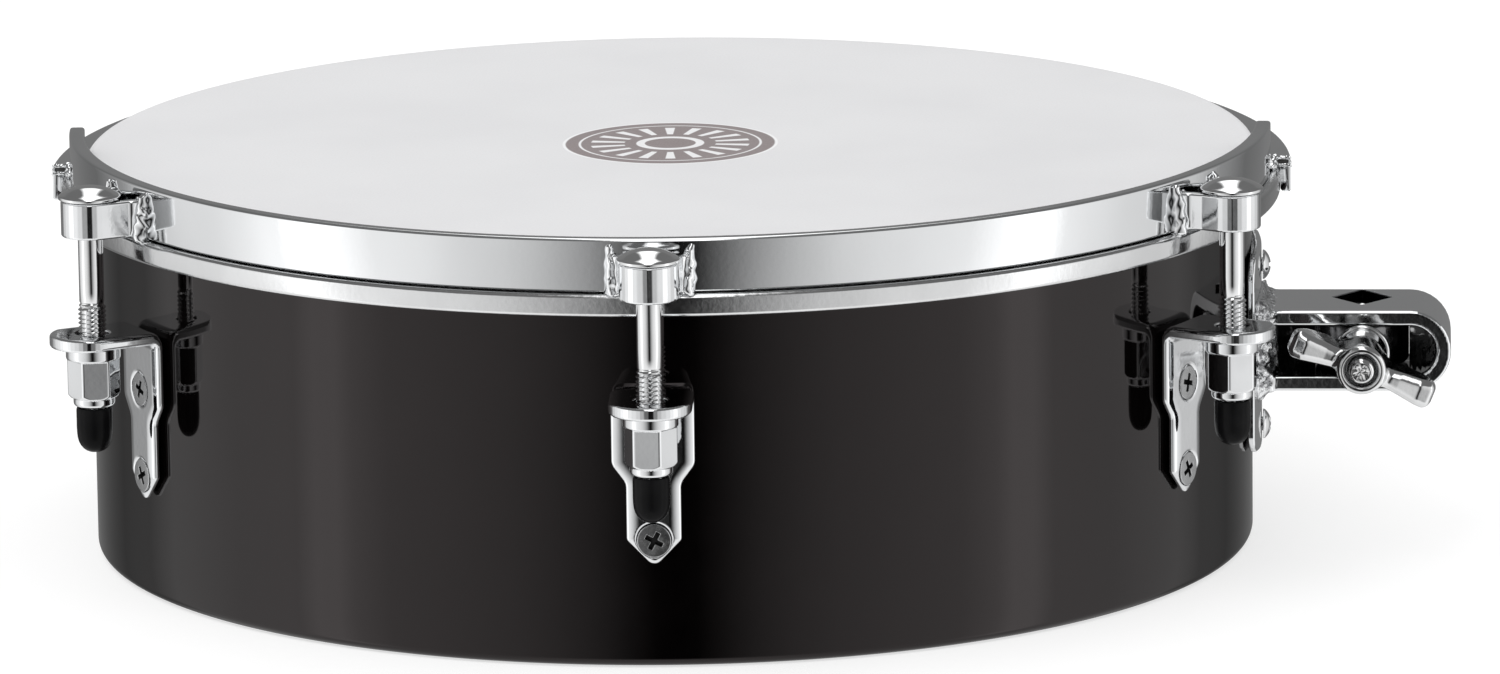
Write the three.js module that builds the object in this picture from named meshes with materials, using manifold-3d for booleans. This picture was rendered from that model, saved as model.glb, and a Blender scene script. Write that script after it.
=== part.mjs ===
// Shallow timbale: steel shell, film head, a rim that stands up along the front half and lies low
// along the rear half, six tension lugs and a rod clamp.
// Units are millimetres, +Z is up and -Y is the front. Heights are measured from the plane of the
// shell's bottom edge; at the end the drum is lowered so that the origin is the centre of the
// head's playing surface. Azimuths are degrees from the front, towards +X.
// Parts that repeat or sit at an azimuth are drawn at the front and then turned about +Z. For
// them "across" means along X, and a distance from the drum's axis is -y.
import * as THREE from 'three';
import { mergeVertices } from 'three/addons/utils/BufferGeometryUtils.js';
import Module from 'manifold-3d';

// ---------------------------------------------------------------- driving dimensions
// Names: _R is a radius, _Z a height, _AZ an azimuth; _IN and _OUT are distances from the axis.
const DRUM_SEGMENTS = 48;
const GAP = 0.3;                // clearance between neighbouring pieces

const SHELL_R = 164;            // 13 inch nominal shell, outside radius
const SHELL_H = 111;            // height with both rolled edges
const SHELL_T = 1.2;            // sheet thickness
const SHELL_EDGE = 6;           // how far the rolled edges reach inwards
const SHELL_BEND = 2.5;         // bevel of the rolled corners, outside
const SHELL_BEND_IN = 3;        // start of the same bevel on the inside, from the outer faces

const FILM_T = 0.6;
const FILM_R = 164.9;           // outside of the film's skirt
const FILM_BEVEL = 1.5;
const FILM_BEVEL_IN = 1.8;      // start of the bevel on the inside, from the outer faces
const FILM_SKIRT_Z = 99.5;      // lower edge of the skirt, hidden in the flesh hoop
const HEAD_TOP = SHELL_H + GAP + FILM_T;

const HOOP_IN = FILM_R + GAP;   // flesh hoop
const HOOP_OUT = 172;
const HOOP_Z0 = 98.1;
const HOOP_Z1 = 104.2;

const RIM_IN = HOOP_IN;         // tall bar of the rim
const RIM_OUT = 169.4;
const RIM_Z0 = HOOP_Z1 + GAP;
const RIM_Z1 = 119;
const RIM_BEVEL = 0.9;
const JOINT_Z0 = RIM_Z0 + 0.05; // underside of the strip that joins bar and angle
const BAR_AZ = [-90, 85];       // the bar runs round the front half only
const REAR_AZ = [87.5, 268.3];  // the low angle section runs round the rear half
const REAR_OUT = 175;
const REAR_Z0 = 97;             // lower edge of its skirt
const REAR_Z1 = 107;            // top of its flange
const REAR_T = 2.6;
const REAR_BEVEL = 0.7;

const LUG_AZ = [-2, 58, 118, 178, 238, 298];
const BOLT_CIRCLE_R = 181;
const LOOP_OUT_R = 8;           // loop of the rim round each front bolt
const LOOP_IN_R = 5;
const LOOP_Z0 = 105;
const LOOP_Z1 = 115.1;
const LOOP_FOOT = 11.6;         // half width of the loop's welded feet
const BOSS_R = 7.4;             // rear bolts pass through bosses on the skirt
const BOSS_BORE_R = 4.2;
const BOSS_Z0 = 90.4;
const BOSS_Z1 = 100;

const HEAD_R = 8.65;            // front bolt head
const HEAD_Z = LOOP_Z1 + GAP;
const HEAD_DOME_Z = 119;
const REAR_HEAD_R = 5.7;        // smaller heads beside the skirt
const REAR_HEAD_Z = BOSS_Z1 + GAP;
const REAR_HEAD_DOME_Z = 102.7;
const SHANK_R = 3.45;
const THREAD_R = 3.9;           // M8 thread, pitch 1.25
const THREAD_TOP_Z = 85.7;
const BOLT_END_Z = 50.5;

const PLATE_T = 3;              // bracket: a leg on the shell and a flange pointing outwards
const BRACKET_IN = SHELL_R + GAP;
const BRACKET_OUT = BRACKET_IN + PLATE_T;
const FLANGE_TOP = 77.2;
const FLANGE_BOTTOM = FLANGE_TOP - PLATE_T;
const FLANGE_END = 193;
const FLANGE_HALF = 11.3;
const LEG_HALF = 7.45;          // half width of the narrow part of the leg
const LEG_WIDE_Z = 56.4;
const LEG_NARROW_Z = 51.6;
const LEG_TAPER_Z = 36;
const LEG_TIP_Z = 28.5;
const BOLT_HOLE_R = 4.6;

const NUT_TOP = FLANGE_BOTTOM - GAP;  // collared tension nut
const COLLAR_R = 7.55;
const COLLAR_Z = 70.5;
const HEX_FLATS = 12.7;         // distance across the flats
const HEX_Z0 = 59.9;
const NUT_RING_R = 5.7;
const NUT_Z0 = 57.2;
const NUT_BORE_R = 4.15;
const NUT_OVERLAP = 0.05;       // how far collar and ring run into the hexagon

const CAP_R = 5.05;             // rubber end cap
const CAP_TOP = NUT_Z0 - GAP;
const CAP_Z0 = 44.1;
const CAP_FLOOR_Z = CAP_Z0 + 2.9;
const CAP_BORE_R = 4.25;

const SCREW_Z = [60.1, 35.7];   // bracket screws and their nuts
const SCREW_R = 2;
const SCREW_HEAD_R = 4.7;
const SCREW_END = 157.6;
const SCREW_HOLE_R = 2.4;
const SINK_R = 5.35;
const SINK_DEPTH = 2.7;
const SCREW_NUT_FLATS = 7;
const INNER_NUT_OUT = 162.3;    // nut face next to the shell wall
const INNER_NUT_IN = 159.2;
const INNER_NUT_PLAY = 0.3;

const MOUNT_AZ = 86;            // rod clamp
const BASE_IN = 164.5;          // curved base plate
const BASE_OUT = 166.7;
const STRAP_HALF = 15.5;        // half width of the strap
const STRAP_TOP = 66.7;
const STRAP_BOTTOM = 43.8;
const STRAP_T = 4.2;
const STRAP_END = 220;
const WEB_X = [STRAP_HALF - 3.5, STRAP_HALF - 0.4];
const WEB_LAP = 0.4;            // how far the webs sink into the strap
const WEB_R = [180.6, 209.4];   // the eye sits between the webs
const ROD_R = 195;              // rod axis: distance from the drum's axis
const ROD_X = 4.5;              // rod axis: offset behind the strap's middle
const DIAMOND_RADIAL = 8;       // diamond hole's half diagonals, along and across the strap
const DIAMOND_ACROSS = 10.2;
const MOUNT_SCREW_Z = [77, 31];
const MOUNT_SCREW_R = 2.4;
const MOUNT_SCREW_HEAD_R = 4.25;
const MOUNT_SCREW_END = SCREW_END - 1;
const MOUNT_HOLE_R = MOUNT_SCREW_R + 0.4;
const MOUNT_NUT_FLATS = 8;

const EYE_OUT_R = 13.2;         // eyebolt
const EYE_IN_R = 6.7;
const EYE_H = 13;
const EYE_Z = 55.1;
const EYE_BEVEL_IN = 1.2;
const EYE_BEVEL_OUT = 2.4;
const EYE_BAND_HALF = 3;        // half height of the upright band round the eye
const EYE_SHANK_R = 3.5;        // M7 thread, pitch 1.0
const EYE_SHANK_X = [-43, ROD_X - EYE_IN_R - 2.5];

const WASHER_R = 7.9;
const WASHER_REAR_X = -STRAP_HALF - GAP;
const WASHER_FRONT_X = WASHER_REAR_X - 2;
const WING_HUB_REAR_X = WASHER_FRONT_X - GAP;
const WING_HUB_FRONT_X = -41;
const WING_TIP = 21.6;
const WING_T = 5;
const WING_TILT = 22;           // degrees, outer wing hangs down

// ---------------------------------------------------------------- solids
const wasm = await Module();
wasm.setup();
const rad = THREE.MathUtils.degToRad;

// one closed, outward-facing geometry from any closed geometry
function closed(source) {
  let geometry = source.clone();
  for (const name of Object.keys(geometry.attributes)) {
    if (name !== 'position') geometry.deleteAttribute(name);
  }
  geometry = mergeVertices(geometry, 1e-4);
  const index = geometry.index.array;
  const corner = (i) => new THREE.Vector3().fromBufferAttribute(geometry.attributes.position, i);
  const triangles = [];
  let volume = 0;
  for (let i = 0; i < index.length; i += 3) {
    const [a, b, c] = index.slice(i, i + 3);
    if (a === b || b === c || a === c) continue;
    volume += corner(a).dot(corner(b).cross(corner(c))) / 6;
    triangles.push(a, b, c);
  }
  if (volume < 0) {
    for (let i = 0; i < triangles.length; i += 3) {
      [triangles[i + 1], triangles[i + 2]] = [triangles[i + 2], triangles[i + 1]];
    }
  }
  geometry.setIndex(triangles);
  return geometry;
}

function toSolid(source) {
  const geometry = closed(source);
  return new wasm.Manifold(new wasm.Mesh({
    numProp: 3,
    vertProperties: Float32Array.from(geometry.attributes.position.array),
    triVerts: Uint32Array.from(geometry.index.array),
  }));
}

function fromSolid(solid) {
  const mesh = solid.getMesh();
  const positions = new Float32Array(mesh.numVert * 3);
  for (let i = 0; i < mesh.numVert; i++) {
    for (let k = 0; k < 3; k++) {
      positions[3 * i + k] = mesh.vertProperties[i * mesh.numProp + k];
    }
  }
  const geometry = new THREE.BufferGeometry();
  geometry.setAttribute('position', new THREE.BufferAttribute(positions, 3));
  geometry.setIndex(Array.from(mesh.triVerts));
  return closed(geometry);
}

const cutAll = (solid, cutters) => cutters.reduce((rest, cutter) => rest.subtract(cutter), solid);

// ---------------------------------------------------------------- profiles and outlines
// full disc as a profile to turn
const disc = (radius, from, to) => [[0, from], [radius, from], [radius, to], [0, to]];

// profile that returns to its first point, for rings
const looped = (points) => [...points, points[0]];

// the same points on the other side of x = 0, in reverse order
const mirrored = (points) => points.map(([x, y]) => [-x, y]).reverse();

// corner radius of a polygon whose flats lie at the given radius
const flats = (radius, sides) => radius / Math.cos(Math.PI / sides);

function arc(centreX, centreY, radius, from, to, steps) {
  const points = [];
  for (let i = 0; i <= steps; i++) {
    const angle = rad(from + (to - from) * i / steps);
    points.push([centreX + radius * Math.cos(angle), centreY + radius * Math.sin(angle)]);
  }
  return points;
}

// a profile of [radius, height] turned about +Z; facet 0 starts at the front
function turned(profile, segments = DRUM_SEGMENTS) {
  const points = profile.map(([radius, z]) => new THREE.Vector2(radius, z));
  return new THREE.LatheGeometry(points, segments).rotateX(Math.PI / 2);
}

// the same about the bolt's axis at the front
const turnedOnBolt = (profile, segments) =>
  turned(profile, segments).translate(0, -BOLT_CIRCLE_R, 0);

// [radius, distance from the drum's axis] turned about the outward radius at the front
const turnedRadial = (profile, segments, z) =>
  turned(profile, segments).rotateX(Math.PI / 2).translate(0, 0, z);

// [radius, x] turned about an axis along X
const turnedAcross = (profile, segments, y = 0, z = 0) =>
  turned(profile, segments).rotateY(Math.PI / 2).translate(0, y, z);

function extruded(points, depth) {
  const shape = new THREE.Shape(points.map(([x, y]) => new THREE.Vector2(x, y)));
  return new THREE.ExtrudeGeometry(shape, { depth, bevelEnabled: false, steps: 1 });
}

// outline in plan, pulled up from z0 to z1
const upright = (points, z0, z1) => extruded(points, z1 - z0).translate(0, 0, z0);

// outline seen from the front (x, z), pulled outwards between two distances from the axis
const outward = (points, from, to) =>
  extruded(points, to - from).rotateX(Math.PI / 2).translate(0, -from, 0);

// outline seen from the side (distance from the drum's axis, z), pulled between x0 and x1
function across(points, x0, x1) {
  const sideways = new THREE.Matrix4().makeBasis(
    new THREE.Vector3(0, -1, 0), new THREE.Vector3(0, 0, 1), new THREE.Vector3(-1, 0, 0));
  return extruded(points, x1 - x0).applyMatrix4(sideways).translate(x1, 0, 0);
}

// ---------------------------------------------------------------- materials
const material = (name, color, roughness, metalness) =>
  Object.assign(new THREE.MeshStandardMaterial({ color, roughness, metalness }), { name });

const chrome = (name) => material(name, 0xdcdde0, 0.08, 1);
const screwMetal = () => material('screw_metal', 0xb9bbbe, 0.35, 1);
const shellLacquer = () => material('shell_lacquer', 0x191616, 0.12, 0.3);
const headFilm = () => material('head_film', 0xe9e9ea, 0.45, 0);
const hoopMetal = () => material('hoop_metal', 0xe2e3e5, 0.2, 1);
const capRubber = () => material('cap_rubber', 0x131315, 0.55, 0);

// ---------------------------------------------------------------- shell and head
function shellGeometry() {
  const edge = SHELL_R - SHELL_EDGE;
  const wall = SHELL_R - SHELL_T;
  const solid = toSolid(turned(looped([
    [edge, 0], [SHELL_R - SHELL_BEND, 0], [SHELL_R, SHELL_BEND],
    [SHELL_R, SHELL_H - SHELL_BEND], [SHELL_R - SHELL_BEND, SHELL_H], [edge, SHELL_H],
    [edge, SHELL_H - SHELL_T], [SHELL_R - SHELL_BEND_IN, SHELL_H - SHELL_T],
    [wall, SHELL_H - SHELL_BEND_IN], [wall, SHELL_BEND_IN],
    [SHELL_R - SHELL_BEND_IN, SHELL_T], [edge, SHELL_T],
  ])));
  // screw holes: two per lug bracket and two for the clamp's base plate
  const drill = (radius, azimuth, z) => toSolid(
    turnedRadial(disc(radius, SHELL_R - 8, SHELL_R + 4), 8, z).rotateZ(rad(azimuth)));
  return fromSolid(cutAll(solid, [
    ...LUG_AZ.flatMap((azimuth) => SCREW_Z.map((z) => drill(SCREW_HOLE_R, azimuth, z))),
    ...MOUNT_SCREW_Z.map((z) => drill(MOUNT_HOLE_R, MOUNT_AZ, z)),
  ]));
}

const filmGeometry = () => closed(turned([
  [0, HEAD_TOP], [FILM_R - FILM_BEVEL, HEAD_TOP], [FILM_R, HEAD_TOP - FILM_BEVEL],
  [FILM_R, FILM_SKIRT_Z], [FILM_R - FILM_T, FILM_SKIRT_Z],
  [FILM_R - FILM_T, HEAD_TOP - FILM_BEVEL_IN], [FILM_R - FILM_BEVEL_IN, HEAD_TOP - FILM_T],
  [0, HEAD_TOP - FILM_T],
]));

const hoopGeometry = () => closed(turned(looped([
  [HOOP_IN, HOOP_Z0], [HOOP_OUT - 0.8, HOOP_Z0], [HOOP_OUT, HOOP_Z0 + 0.8],
  [HOOP_OUT, HOOP_Z1 - 1.8], [HOOP_OUT - 1.6, HOOP_Z1], [HOOP_IN, HOOP_Z1],
])));

// ---------------------------------------------------------------- rim
const isRear = (azimuth) => azimuth > REAR_AZ[0] && azimuth < REAR_AZ[1];

// the part of a ring profile between two azimuths, trimmed by an oversized wedge
function ringSector(profile, from, to) {
  const wedge = [[0, 0]];
  for (let i = 0; i <= 6; i++) {
    const angle = rad(from + (to - from) * i / 6);
    wedge.push([400 * Math.sin(angle), -400 * Math.cos(angle)]);
  }
  return toSolid(turned(looped(profile))).intersect(toSolid(upright(wedge, 60, 160)));
}

// open-ended loop standing off the bar round a front bolt
function loopGeometry() {
  const root = -RIM_OUT + 1;
  const outerSide = [
    [-LOOP_FOOT, root], [-LOOP_FOOT + 0.3, root - 1.4],
    [-LOOP_OUT_R - 1.1, root - 3], [-LOOP_OUT_R, root - 5.6],
  ];
  const innerSide = [
    [LOOP_IN_R + 1.6, root], [LOOP_IN_R + 1.2, root - 1.8], [LOOP_IN_R, root - 4.6],
  ];
  return upright([
    ...outerSide, ...arc(0, -BOLT_CIRCLE_R, LOOP_OUT_R, 180, 360, 10), ...mirrored(outerSide),
    ...innerSide, ...arc(0, -BOLT_CIRCLE_R, LOOP_IN_R, 360, 180, 8), ...mirrored(innerSide),
  ], LOOP_Z0, LOOP_Z1);
}

// bored boss on the skirt round a rear bolt
function bossGeometry() {
  const root = -REAR_OUT + 1;
  const side = [[-BOSS_R - 1.8, root], [-BOSS_R, root - 2.6]];
  const body = upright(
    [...side, ...arc(0, -BOLT_CIRCLE_R, BOSS_R, 180, 360, 10), ...mirrored(side)],
    BOSS_Z0, BOSS_Z1);
  const bore = turnedOnBolt(disc(flats(BOSS_BORE_R, 12), BOSS_Z0 - 3, BOSS_Z1 + 3), 12);
  return fromSolid(toSolid(body).subtract(toSolid(bore)));
}

function rimGeometry() {
  const bar = ringSector([
    [RIM_IN, RIM_Z0], [RIM_OUT, RIM_Z0], [RIM_OUT, RIM_Z1 - RIM_BEVEL],
    [RIM_OUT - RIM_BEVEL, RIM_Z1], [RIM_IN + RIM_BEVEL, RIM_Z1], [RIM_IN, RIM_Z1 - RIM_BEVEL],
  ], ...BAR_AZ);
  const under = REAR_Z1 - REAR_T;
  const skirtIn = REAR_OUT - REAR_T;
  const angle = ringSector([
    [RIM_IN, under], [skirtIn, under], [skirtIn, REAR_Z0], [REAR_OUT, REAR_Z0],
    [REAR_OUT, REAR_Z1 - REAR_BEVEL], [REAR_OUT - REAR_BEVEL, REAR_Z1], [RIM_IN, REAR_Z1],
  ], ...REAR_AZ);
  // the inner strip of the flange runs on one degree under each end of the bar, as the weld
  const joint = ringSector([
    [RIM_IN, JOINT_Z0], [RIM_OUT, JOINT_Z0], [RIM_OUT, REAR_Z1], [RIM_IN, REAR_Z1],
  ], BAR_AZ[1] - 1, BAR_AZ[0] + 361);
  let solid = bar.add(joint).add(angle);
  for (const azimuth of LUG_AZ) {
    const part = isRear(azimuth) ? bossGeometry() : loopGeometry();
    solid = solid.add(toSolid(part.rotateZ(rad(azimuth))));
  }
  return fromSolid(solid);
}

// ---------------------------------------------------------------- tension lugs
function boltGeometry(rear) {
  const head = rear
    ? [
      [0, REAR_HEAD_DOME_Z], [3.2, REAR_HEAD_DOME_Z - 0.4],
      [REAR_HEAD_R, REAR_HEAD_Z + 0.8], [REAR_HEAD_R, REAR_HEAD_Z], [SHANK_R, REAR_HEAD_Z],
    ]
    : [
      [0, HEAD_DOME_Z], [3.6, HEAD_DOME_Z - 0.35], [6.7, HEAD_DOME_Z - 1.4],
      [HEAD_R, HEAD_Z + 0.9], [HEAD_R, HEAD_Z], [SHANK_R, HEAD_Z],
    ];
  return closed(turnedOnBolt([
    ...head, [SHANK_R, THREAD_TOP_Z], [THREAD_R, THREAD_TOP_Z - 0.5],
    [THREAD_R, BOLT_END_Z + 1], [THREAD_R - 1, BOLT_END_Z], [0, BOLT_END_Z],
  ], 12));
}

// bent plate: its side view, front view and plan intersected, then drilled
function bracketGeometry() {
  const side = across([
    [BRACKET_IN, LEG_TIP_Z - 1], [BRACKET_OUT, LEG_TIP_Z - 1],
    [BRACKET_OUT, FLANGE_BOTTOM - 1.2], [BRACKET_OUT + 1.2, FLANGE_BOTTOM],
    [FLANGE_END + 1, FLANGE_BOTTOM], [FLANGE_END + 1, FLANGE_TOP],
    [BRACKET_IN + 3.6, FLANGE_TOP], [BRACKET_IN + 1.1, FLANGE_TOP - 1.1],
    [BRACKET_IN, FLANGE_TOP - 3.6],
  ], -FLANGE_HALF, FLANGE_HALF);
  const edge = [
    [2.4, LEG_TIP_Z + 0.9], [LEG_HALF - 0.6, LEG_TAPER_Z - 1], [LEG_HALF, LEG_TAPER_Z + 0.8],
    [LEG_HALF, LEG_NARROW_Z - 0.6], [LEG_HALF + 0.7, LEG_NARROW_Z + 0.8],
    [FLANGE_HALF - 0.7, LEG_WIDE_Z - 0.8], [FLANGE_HALF, LEG_WIDE_Z + 0.8],
    [FLANGE_HALF, FLANGE_TOP + 5],
  ];
  const front = outward([[0, LEG_TIP_Z], ...edge, ...mirrored(edge)], 150, 210);
  const plan = upright([
    [-FLANGE_HALF, -150],
    ...arc(0, -(FLANGE_END - FLANGE_HALF), FLANGE_HALF, 180, 360, 12),
    [FLANGE_HALF, -150],
  ], 10, 90);
  const boltHole = turnedOnBolt(
    disc(flats(BOLT_HOLE_R, 12), FLANGE_BOTTOM - 2, FLANGE_TOP + 2), 12);
  const screwHole = (z) => turnedRadial([
    [0, BRACKET_IN - 2], [SCREW_HOLE_R, BRACKET_IN - 2], [SCREW_HOLE_R, BRACKET_OUT - SINK_DEPTH],
    [SINK_R, BRACKET_OUT], [SINK_R, BRACKET_OUT + 2], [0, BRACKET_OUT + 2],
  ], 12, z);
  const plate = toSolid(side).intersect(toSolid(front)).intersect(toSolid(plan));
  return fromSolid(cutAll(plate, [boltHole, ...SCREW_Z.map(screwHole)].map(toSolid)));
}

// hexagon with a round collar above and a round ring below
function tensionNutGeometry() {
  const hexagon = turned(disc(flats(HEX_FLATS / 2, 6), HEX_Z0, COLLAR_Z), 6);
  const collar = turned(disc(COLLAR_R, COLLAR_Z - NUT_OVERLAP, NUT_TOP), 16);
  const ring = turned(disc(NUT_RING_R, NUT_Z0, HEX_Z0 + NUT_OVERLAP), 16);
  const bore = turned(disc(flats(NUT_BORE_R, 12), NUT_Z0 - 3, NUT_TOP + 3), 12);
  const solid = toSolid(hexagon).add(toSolid(collar)).add(toSolid(ring)).subtract(toSolid(bore));
  return fromSolid(solid).translate(0, -BOLT_CIRCLE_R, 0);
}

function capGeometry() {
  const bore = flats(CAP_BORE_R, 12);
  return closed(turnedOnBolt([
    [0, CAP_Z0], [2.7, CAP_Z0 + 0.7], [4.35, CAP_Z0 + 2.4], [CAP_R, CAP_Z0 + 5],
    [CAP_R, CAP_TOP], [bore, CAP_TOP], [bore, CAP_FLOOR_Z], [0, CAP_FLOOR_Z],
  ], 12));
}

// countersunk screw
const screwGeometry = (z) => closed(turnedRadial([
  [0, BRACKET_OUT + 0.1], [SCREW_HEAD_R, BRACKET_OUT - 0.1], [SCREW_R, BRACKET_OUT - 2.6],
  [SCREW_R, SCREW_END], [0, SCREW_END],
], 10, z));

// hexagon nut inside the shell
function innerNutGeometry(z, screwRadius, acrossFlats) {
  const hexagon = disc(flats(acrossFlats / 2, 6), INNER_NUT_IN, INNER_NUT_OUT);
  const bore = disc(flats(screwRadius + INNER_NUT_PLAY, 8), INNER_NUT_IN - 2, INNER_NUT_OUT + 2);
  return fromSolid(
    toSolid(turnedRadial(hexagon, 6, z)).subtract(toSolid(turnedRadial(bore, 8, z))));
}

// ---------------------------------------------------------------- rod clamp
// curved base plate, trimmed to its outline
function basePlate() {
  const ring = turned(looped([
    [BASE_IN, 18], [BASE_OUT, 18], [BASE_OUT, 90], [BASE_IN, 90],
  ]), 120);
  // [x, z] seen from outside
  const face = outward([
    [-22, 29], [-19, 27.2], [-8, 25.6], [8, 25.6], [19, 27.2], [22, 29], [23.5, 32],
    [23.5, 76.5], [21, 80.6], [15, 83], [-15, 83], [-21, 80.6], [-23.5, 76.5], [-23.5, 32],
  ], 140, 175);
  return toSolid(ring).intersect(toSolid(face));
}

function mountGeometry() {
  const middle = (STRAP_TOP + STRAP_BOTTOM) / 2;
  const bendOuter = (STRAP_TOP - STRAP_BOTTOM) / 2;
  const bendInner = bendOuter - STRAP_T;
  const bendCentre = STRAP_END - bendOuter;
  const root = BASE_OUT - 1;
  // flat bar folded into a U that lies on its side, its legs flared where they are welded
  const strap = across([
    [root, STRAP_BOTTOM - 4.8], [root + 1.2, STRAP_BOTTOM - 4.6],
    [root + 5, STRAP_BOTTOM - 0.6], [root + 6.4, STRAP_BOTTOM],
    ...arc(bendCentre, middle, bendOuter, -90, 90, 12),
    [root + 6.4, STRAP_TOP], [root + 4.2, STRAP_TOP + 0.6],
    [root + 2.6, STRAP_TOP + 2], [root, STRAP_TOP + 2.4],
    [root, STRAP_TOP - STRAP_T], ...arc(bendCentre, middle, bendInner, 90, -90, 8),
    [root, STRAP_BOTTOM + STRAP_T],
  ], -STRAP_HALF, STRAP_HALF);
  // webs close the rear side of the U, inboard and outboard of the eye
  const webZ0 = STRAP_BOTTOM + STRAP_T - WEB_LAP;
  const webZ1 = STRAP_TOP - STRAP_T + WEB_LAP;
  const innerWeb = across([
    [root, webZ0], [WEB_R[0], webZ0], [WEB_R[0], webZ1], [root, webZ1],
  ], ...WEB_X);
  const outerWeb = across([
    [WEB_R[1], webZ0 + 0.1],
    ...arc(bendCentre, middle, bendInner + WEB_LAP, -80, 80, 8),
    [WEB_R[1], webZ1 - 0.1],
  ], ...WEB_X);
  const diamond = upright([
    [ROD_X - DIAMOND_ACROSS, -ROD_R], [ROD_X, -ROD_R - DIAMOND_RADIAL],
    [ROD_X + DIAMOND_ACROSS, -ROD_R], [ROD_X, -ROD_R + DIAMOND_RADIAL],
  ], 20, 90);
  const screwHoles = MOUNT_SCREW_Z.map((z) => turnedRadial(disc(MOUNT_HOLE_R, 155, 175), 10, z));
  const solid = basePlate()
    .add(toSolid(strap))
    .add(toSolid(innerWeb))
    .add(toSolid(outerWeb));
  return fromSolid(cutAll(solid, [diamond, ...screwHoles].map(toSolid)));
}

// domed screw
function mountScrewGeometry(z) {
  const seat = BASE_OUT + GAP;
  return closed(turnedRadial([
    [0, seat + 2.4], [2.4, seat + 2.1], [3.7, seat + 1.3], [MOUNT_SCREW_HEAD_R, seat],
    [MOUNT_SCREW_R, seat], [MOUNT_SCREW_R, MOUNT_SCREW_END], [0, MOUNT_SCREW_END],
  ], 12, z));
}

// the eye lies flat between the strap's legs; its shank runs towards the drum's front
function eyeboltGeometry() {
  const bottom = EYE_Z - EYE_H / 2;
  const top = EYE_Z + EYE_H / 2;
  const eye = turned(looped([
    [EYE_IN_R, bottom + EYE_BEVEL_IN], [EYE_IN_R + EYE_BEVEL_IN, bottom],
    [EYE_OUT_R - EYE_BEVEL_OUT, bottom], [EYE_OUT_R, EYE_Z - EYE_BAND_HALF],
    [EYE_OUT_R, EYE_Z + EYE_BAND_HALF], [EYE_OUT_R - EYE_BEVEL_OUT, top],
    [EYE_IN_R + EYE_BEVEL_IN, top], [EYE_IN_R, top - EYE_BEVEL_IN],
  ]), 24).translate(ROD_X, -ROD_R, 0);
  const [tip, root] = EYE_SHANK_X;
  const shank = turnedAcross([
    [0, tip], [EYE_SHANK_R - 1, tip], [EYE_SHANK_R, tip + 1], [EYE_SHANK_R, root], [0, root],
  ], 12, -ROD_R, EYE_Z);
  return fromSolid(toSolid(eye).add(toSolid(shank)));
}

function washerGeometry() {
  const body = disc(WASHER_R, WASHER_FRONT_X, WASHER_REAR_X);
  const bore = disc(flats(EYE_SHANK_R + 0.35, 12), -30, 0);
  return fromSolid(toSolid(turnedAcross(body, 20, -ROD_R, EYE_Z))
    .subtract(toSolid(turnedAcross(bore, 12, -ROD_R, EYE_Z))));
}

// wing outline in the plane of the bolt's axis: [distance from the bolt, x]
const WING_OUTLINE = [
  [3.9, -21], [8, -22], [14, -25.5], [19, -30], [WING_TIP, -36],
  [WING_TIP - 0.8, -40], [17, -41.2], [11, -39.4], [3.9, -38],
];

// waisted hub with two swept wings, tilted about the bolt
function wingNutGeometry() {
  const front = WING_HUB_FRONT_X;
  const rear = WING_HUB_REAR_X;
  let solid = toSolid(turnedAcross([
    [0, front], [6.85, front], [6.85, front + 3], [6.1, front + 5],
    [6.5, rear - 5], [7.3, rear - 1.5], [7.3, rear], [0, rear],
  ], 16));
  for (const side of [1, -1]) {
    const placed = new THREE.Matrix4().makeBasis(
      new THREE.Vector3(0, -side, 0), new THREE.Vector3(1, 0, 0), new THREE.Vector3(0, 0, side));
    const wing = upright(WING_OUTLINE, -WING_T / 2, WING_T / 2).applyMatrix4(placed);
    solid = solid.add(toSolid(wing));
  }
  const bore = turnedAcross(disc(flats(EYE_SHANK_R + 0.25, 12), -60, 0), 12);
  return fromSolid(solid.subtract(toSolid(bore)))
    .rotateX(rad(WING_TILT))
    .translate(0, -ROD_R, EYE_Z);
}

// ---------------------------------------------------------------- assembly
function addPiece(parent, azimuth, name, geometry, pieceMaterial) {
  const mesh = new THREE.Mesh(geometry, pieceMaterial);
  mesh.name = name;
  mesh.rotation.z = rad(azimuth);
  parent.add(mesh);
}

function buildLug(azimuth, i) {
  const lug = new THREE.Group();
  const add = (...piece) => addPiece(lug, azimuth, ...piece);
  const number = i + 1;
  add(`lug_bracket_${number}`, bracketGeometry(), chrome('bracket_chrome'));
  add(`tension_bolt_${number}`, boltGeometry(isRear(azimuth)), chrome('bolt_chrome'));
  add(`hex_nut_${number}`, tensionNutGeometry(), chrome('nut_chrome'));
  add(`rubber_cap_${number}`, capGeometry(), capRubber());
  SCREW_Z.forEach((z, k) => {
    const screw = SCREW_Z.length * i + k + 1;
    add(`bracket_screw_${screw}`, screwGeometry(z), screwMetal());
    add(`screw_nut_${screw}`, innerNutGeometry(z, SCREW_R, SCREW_NUT_FLATS), screwMetal());
  });
  return lug;
}

function buildClamp() {
  const clamp = new THREE.Group();
  const add = (...piece) => addPiece(clamp, MOUNT_AZ, ...piece);
  add('mount_bracket', mountGeometry(), chrome('mount_chrome'));
  MOUNT_SCREW_Z.forEach((z, k) => {
    const nut = innerNutGeometry(z, MOUNT_SCREW_R, MOUNT_NUT_FLATS);
    add(`mount_screw_${k + 1}`, mountScrewGeometry(z), screwMetal());
    add(`mount_nut_${k + 1}`, nut, screwMetal());
  });
  add('eyebolt', eyeboltGeometry(), chrome('clamp_chrome'));
  add('clamp_washer', washerGeometry(), chrome('clamp_chrome'));
  add('wing_nut', wingNutGeometry(), chrome('clamp_chrome'));
  return clamp;
}

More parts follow.
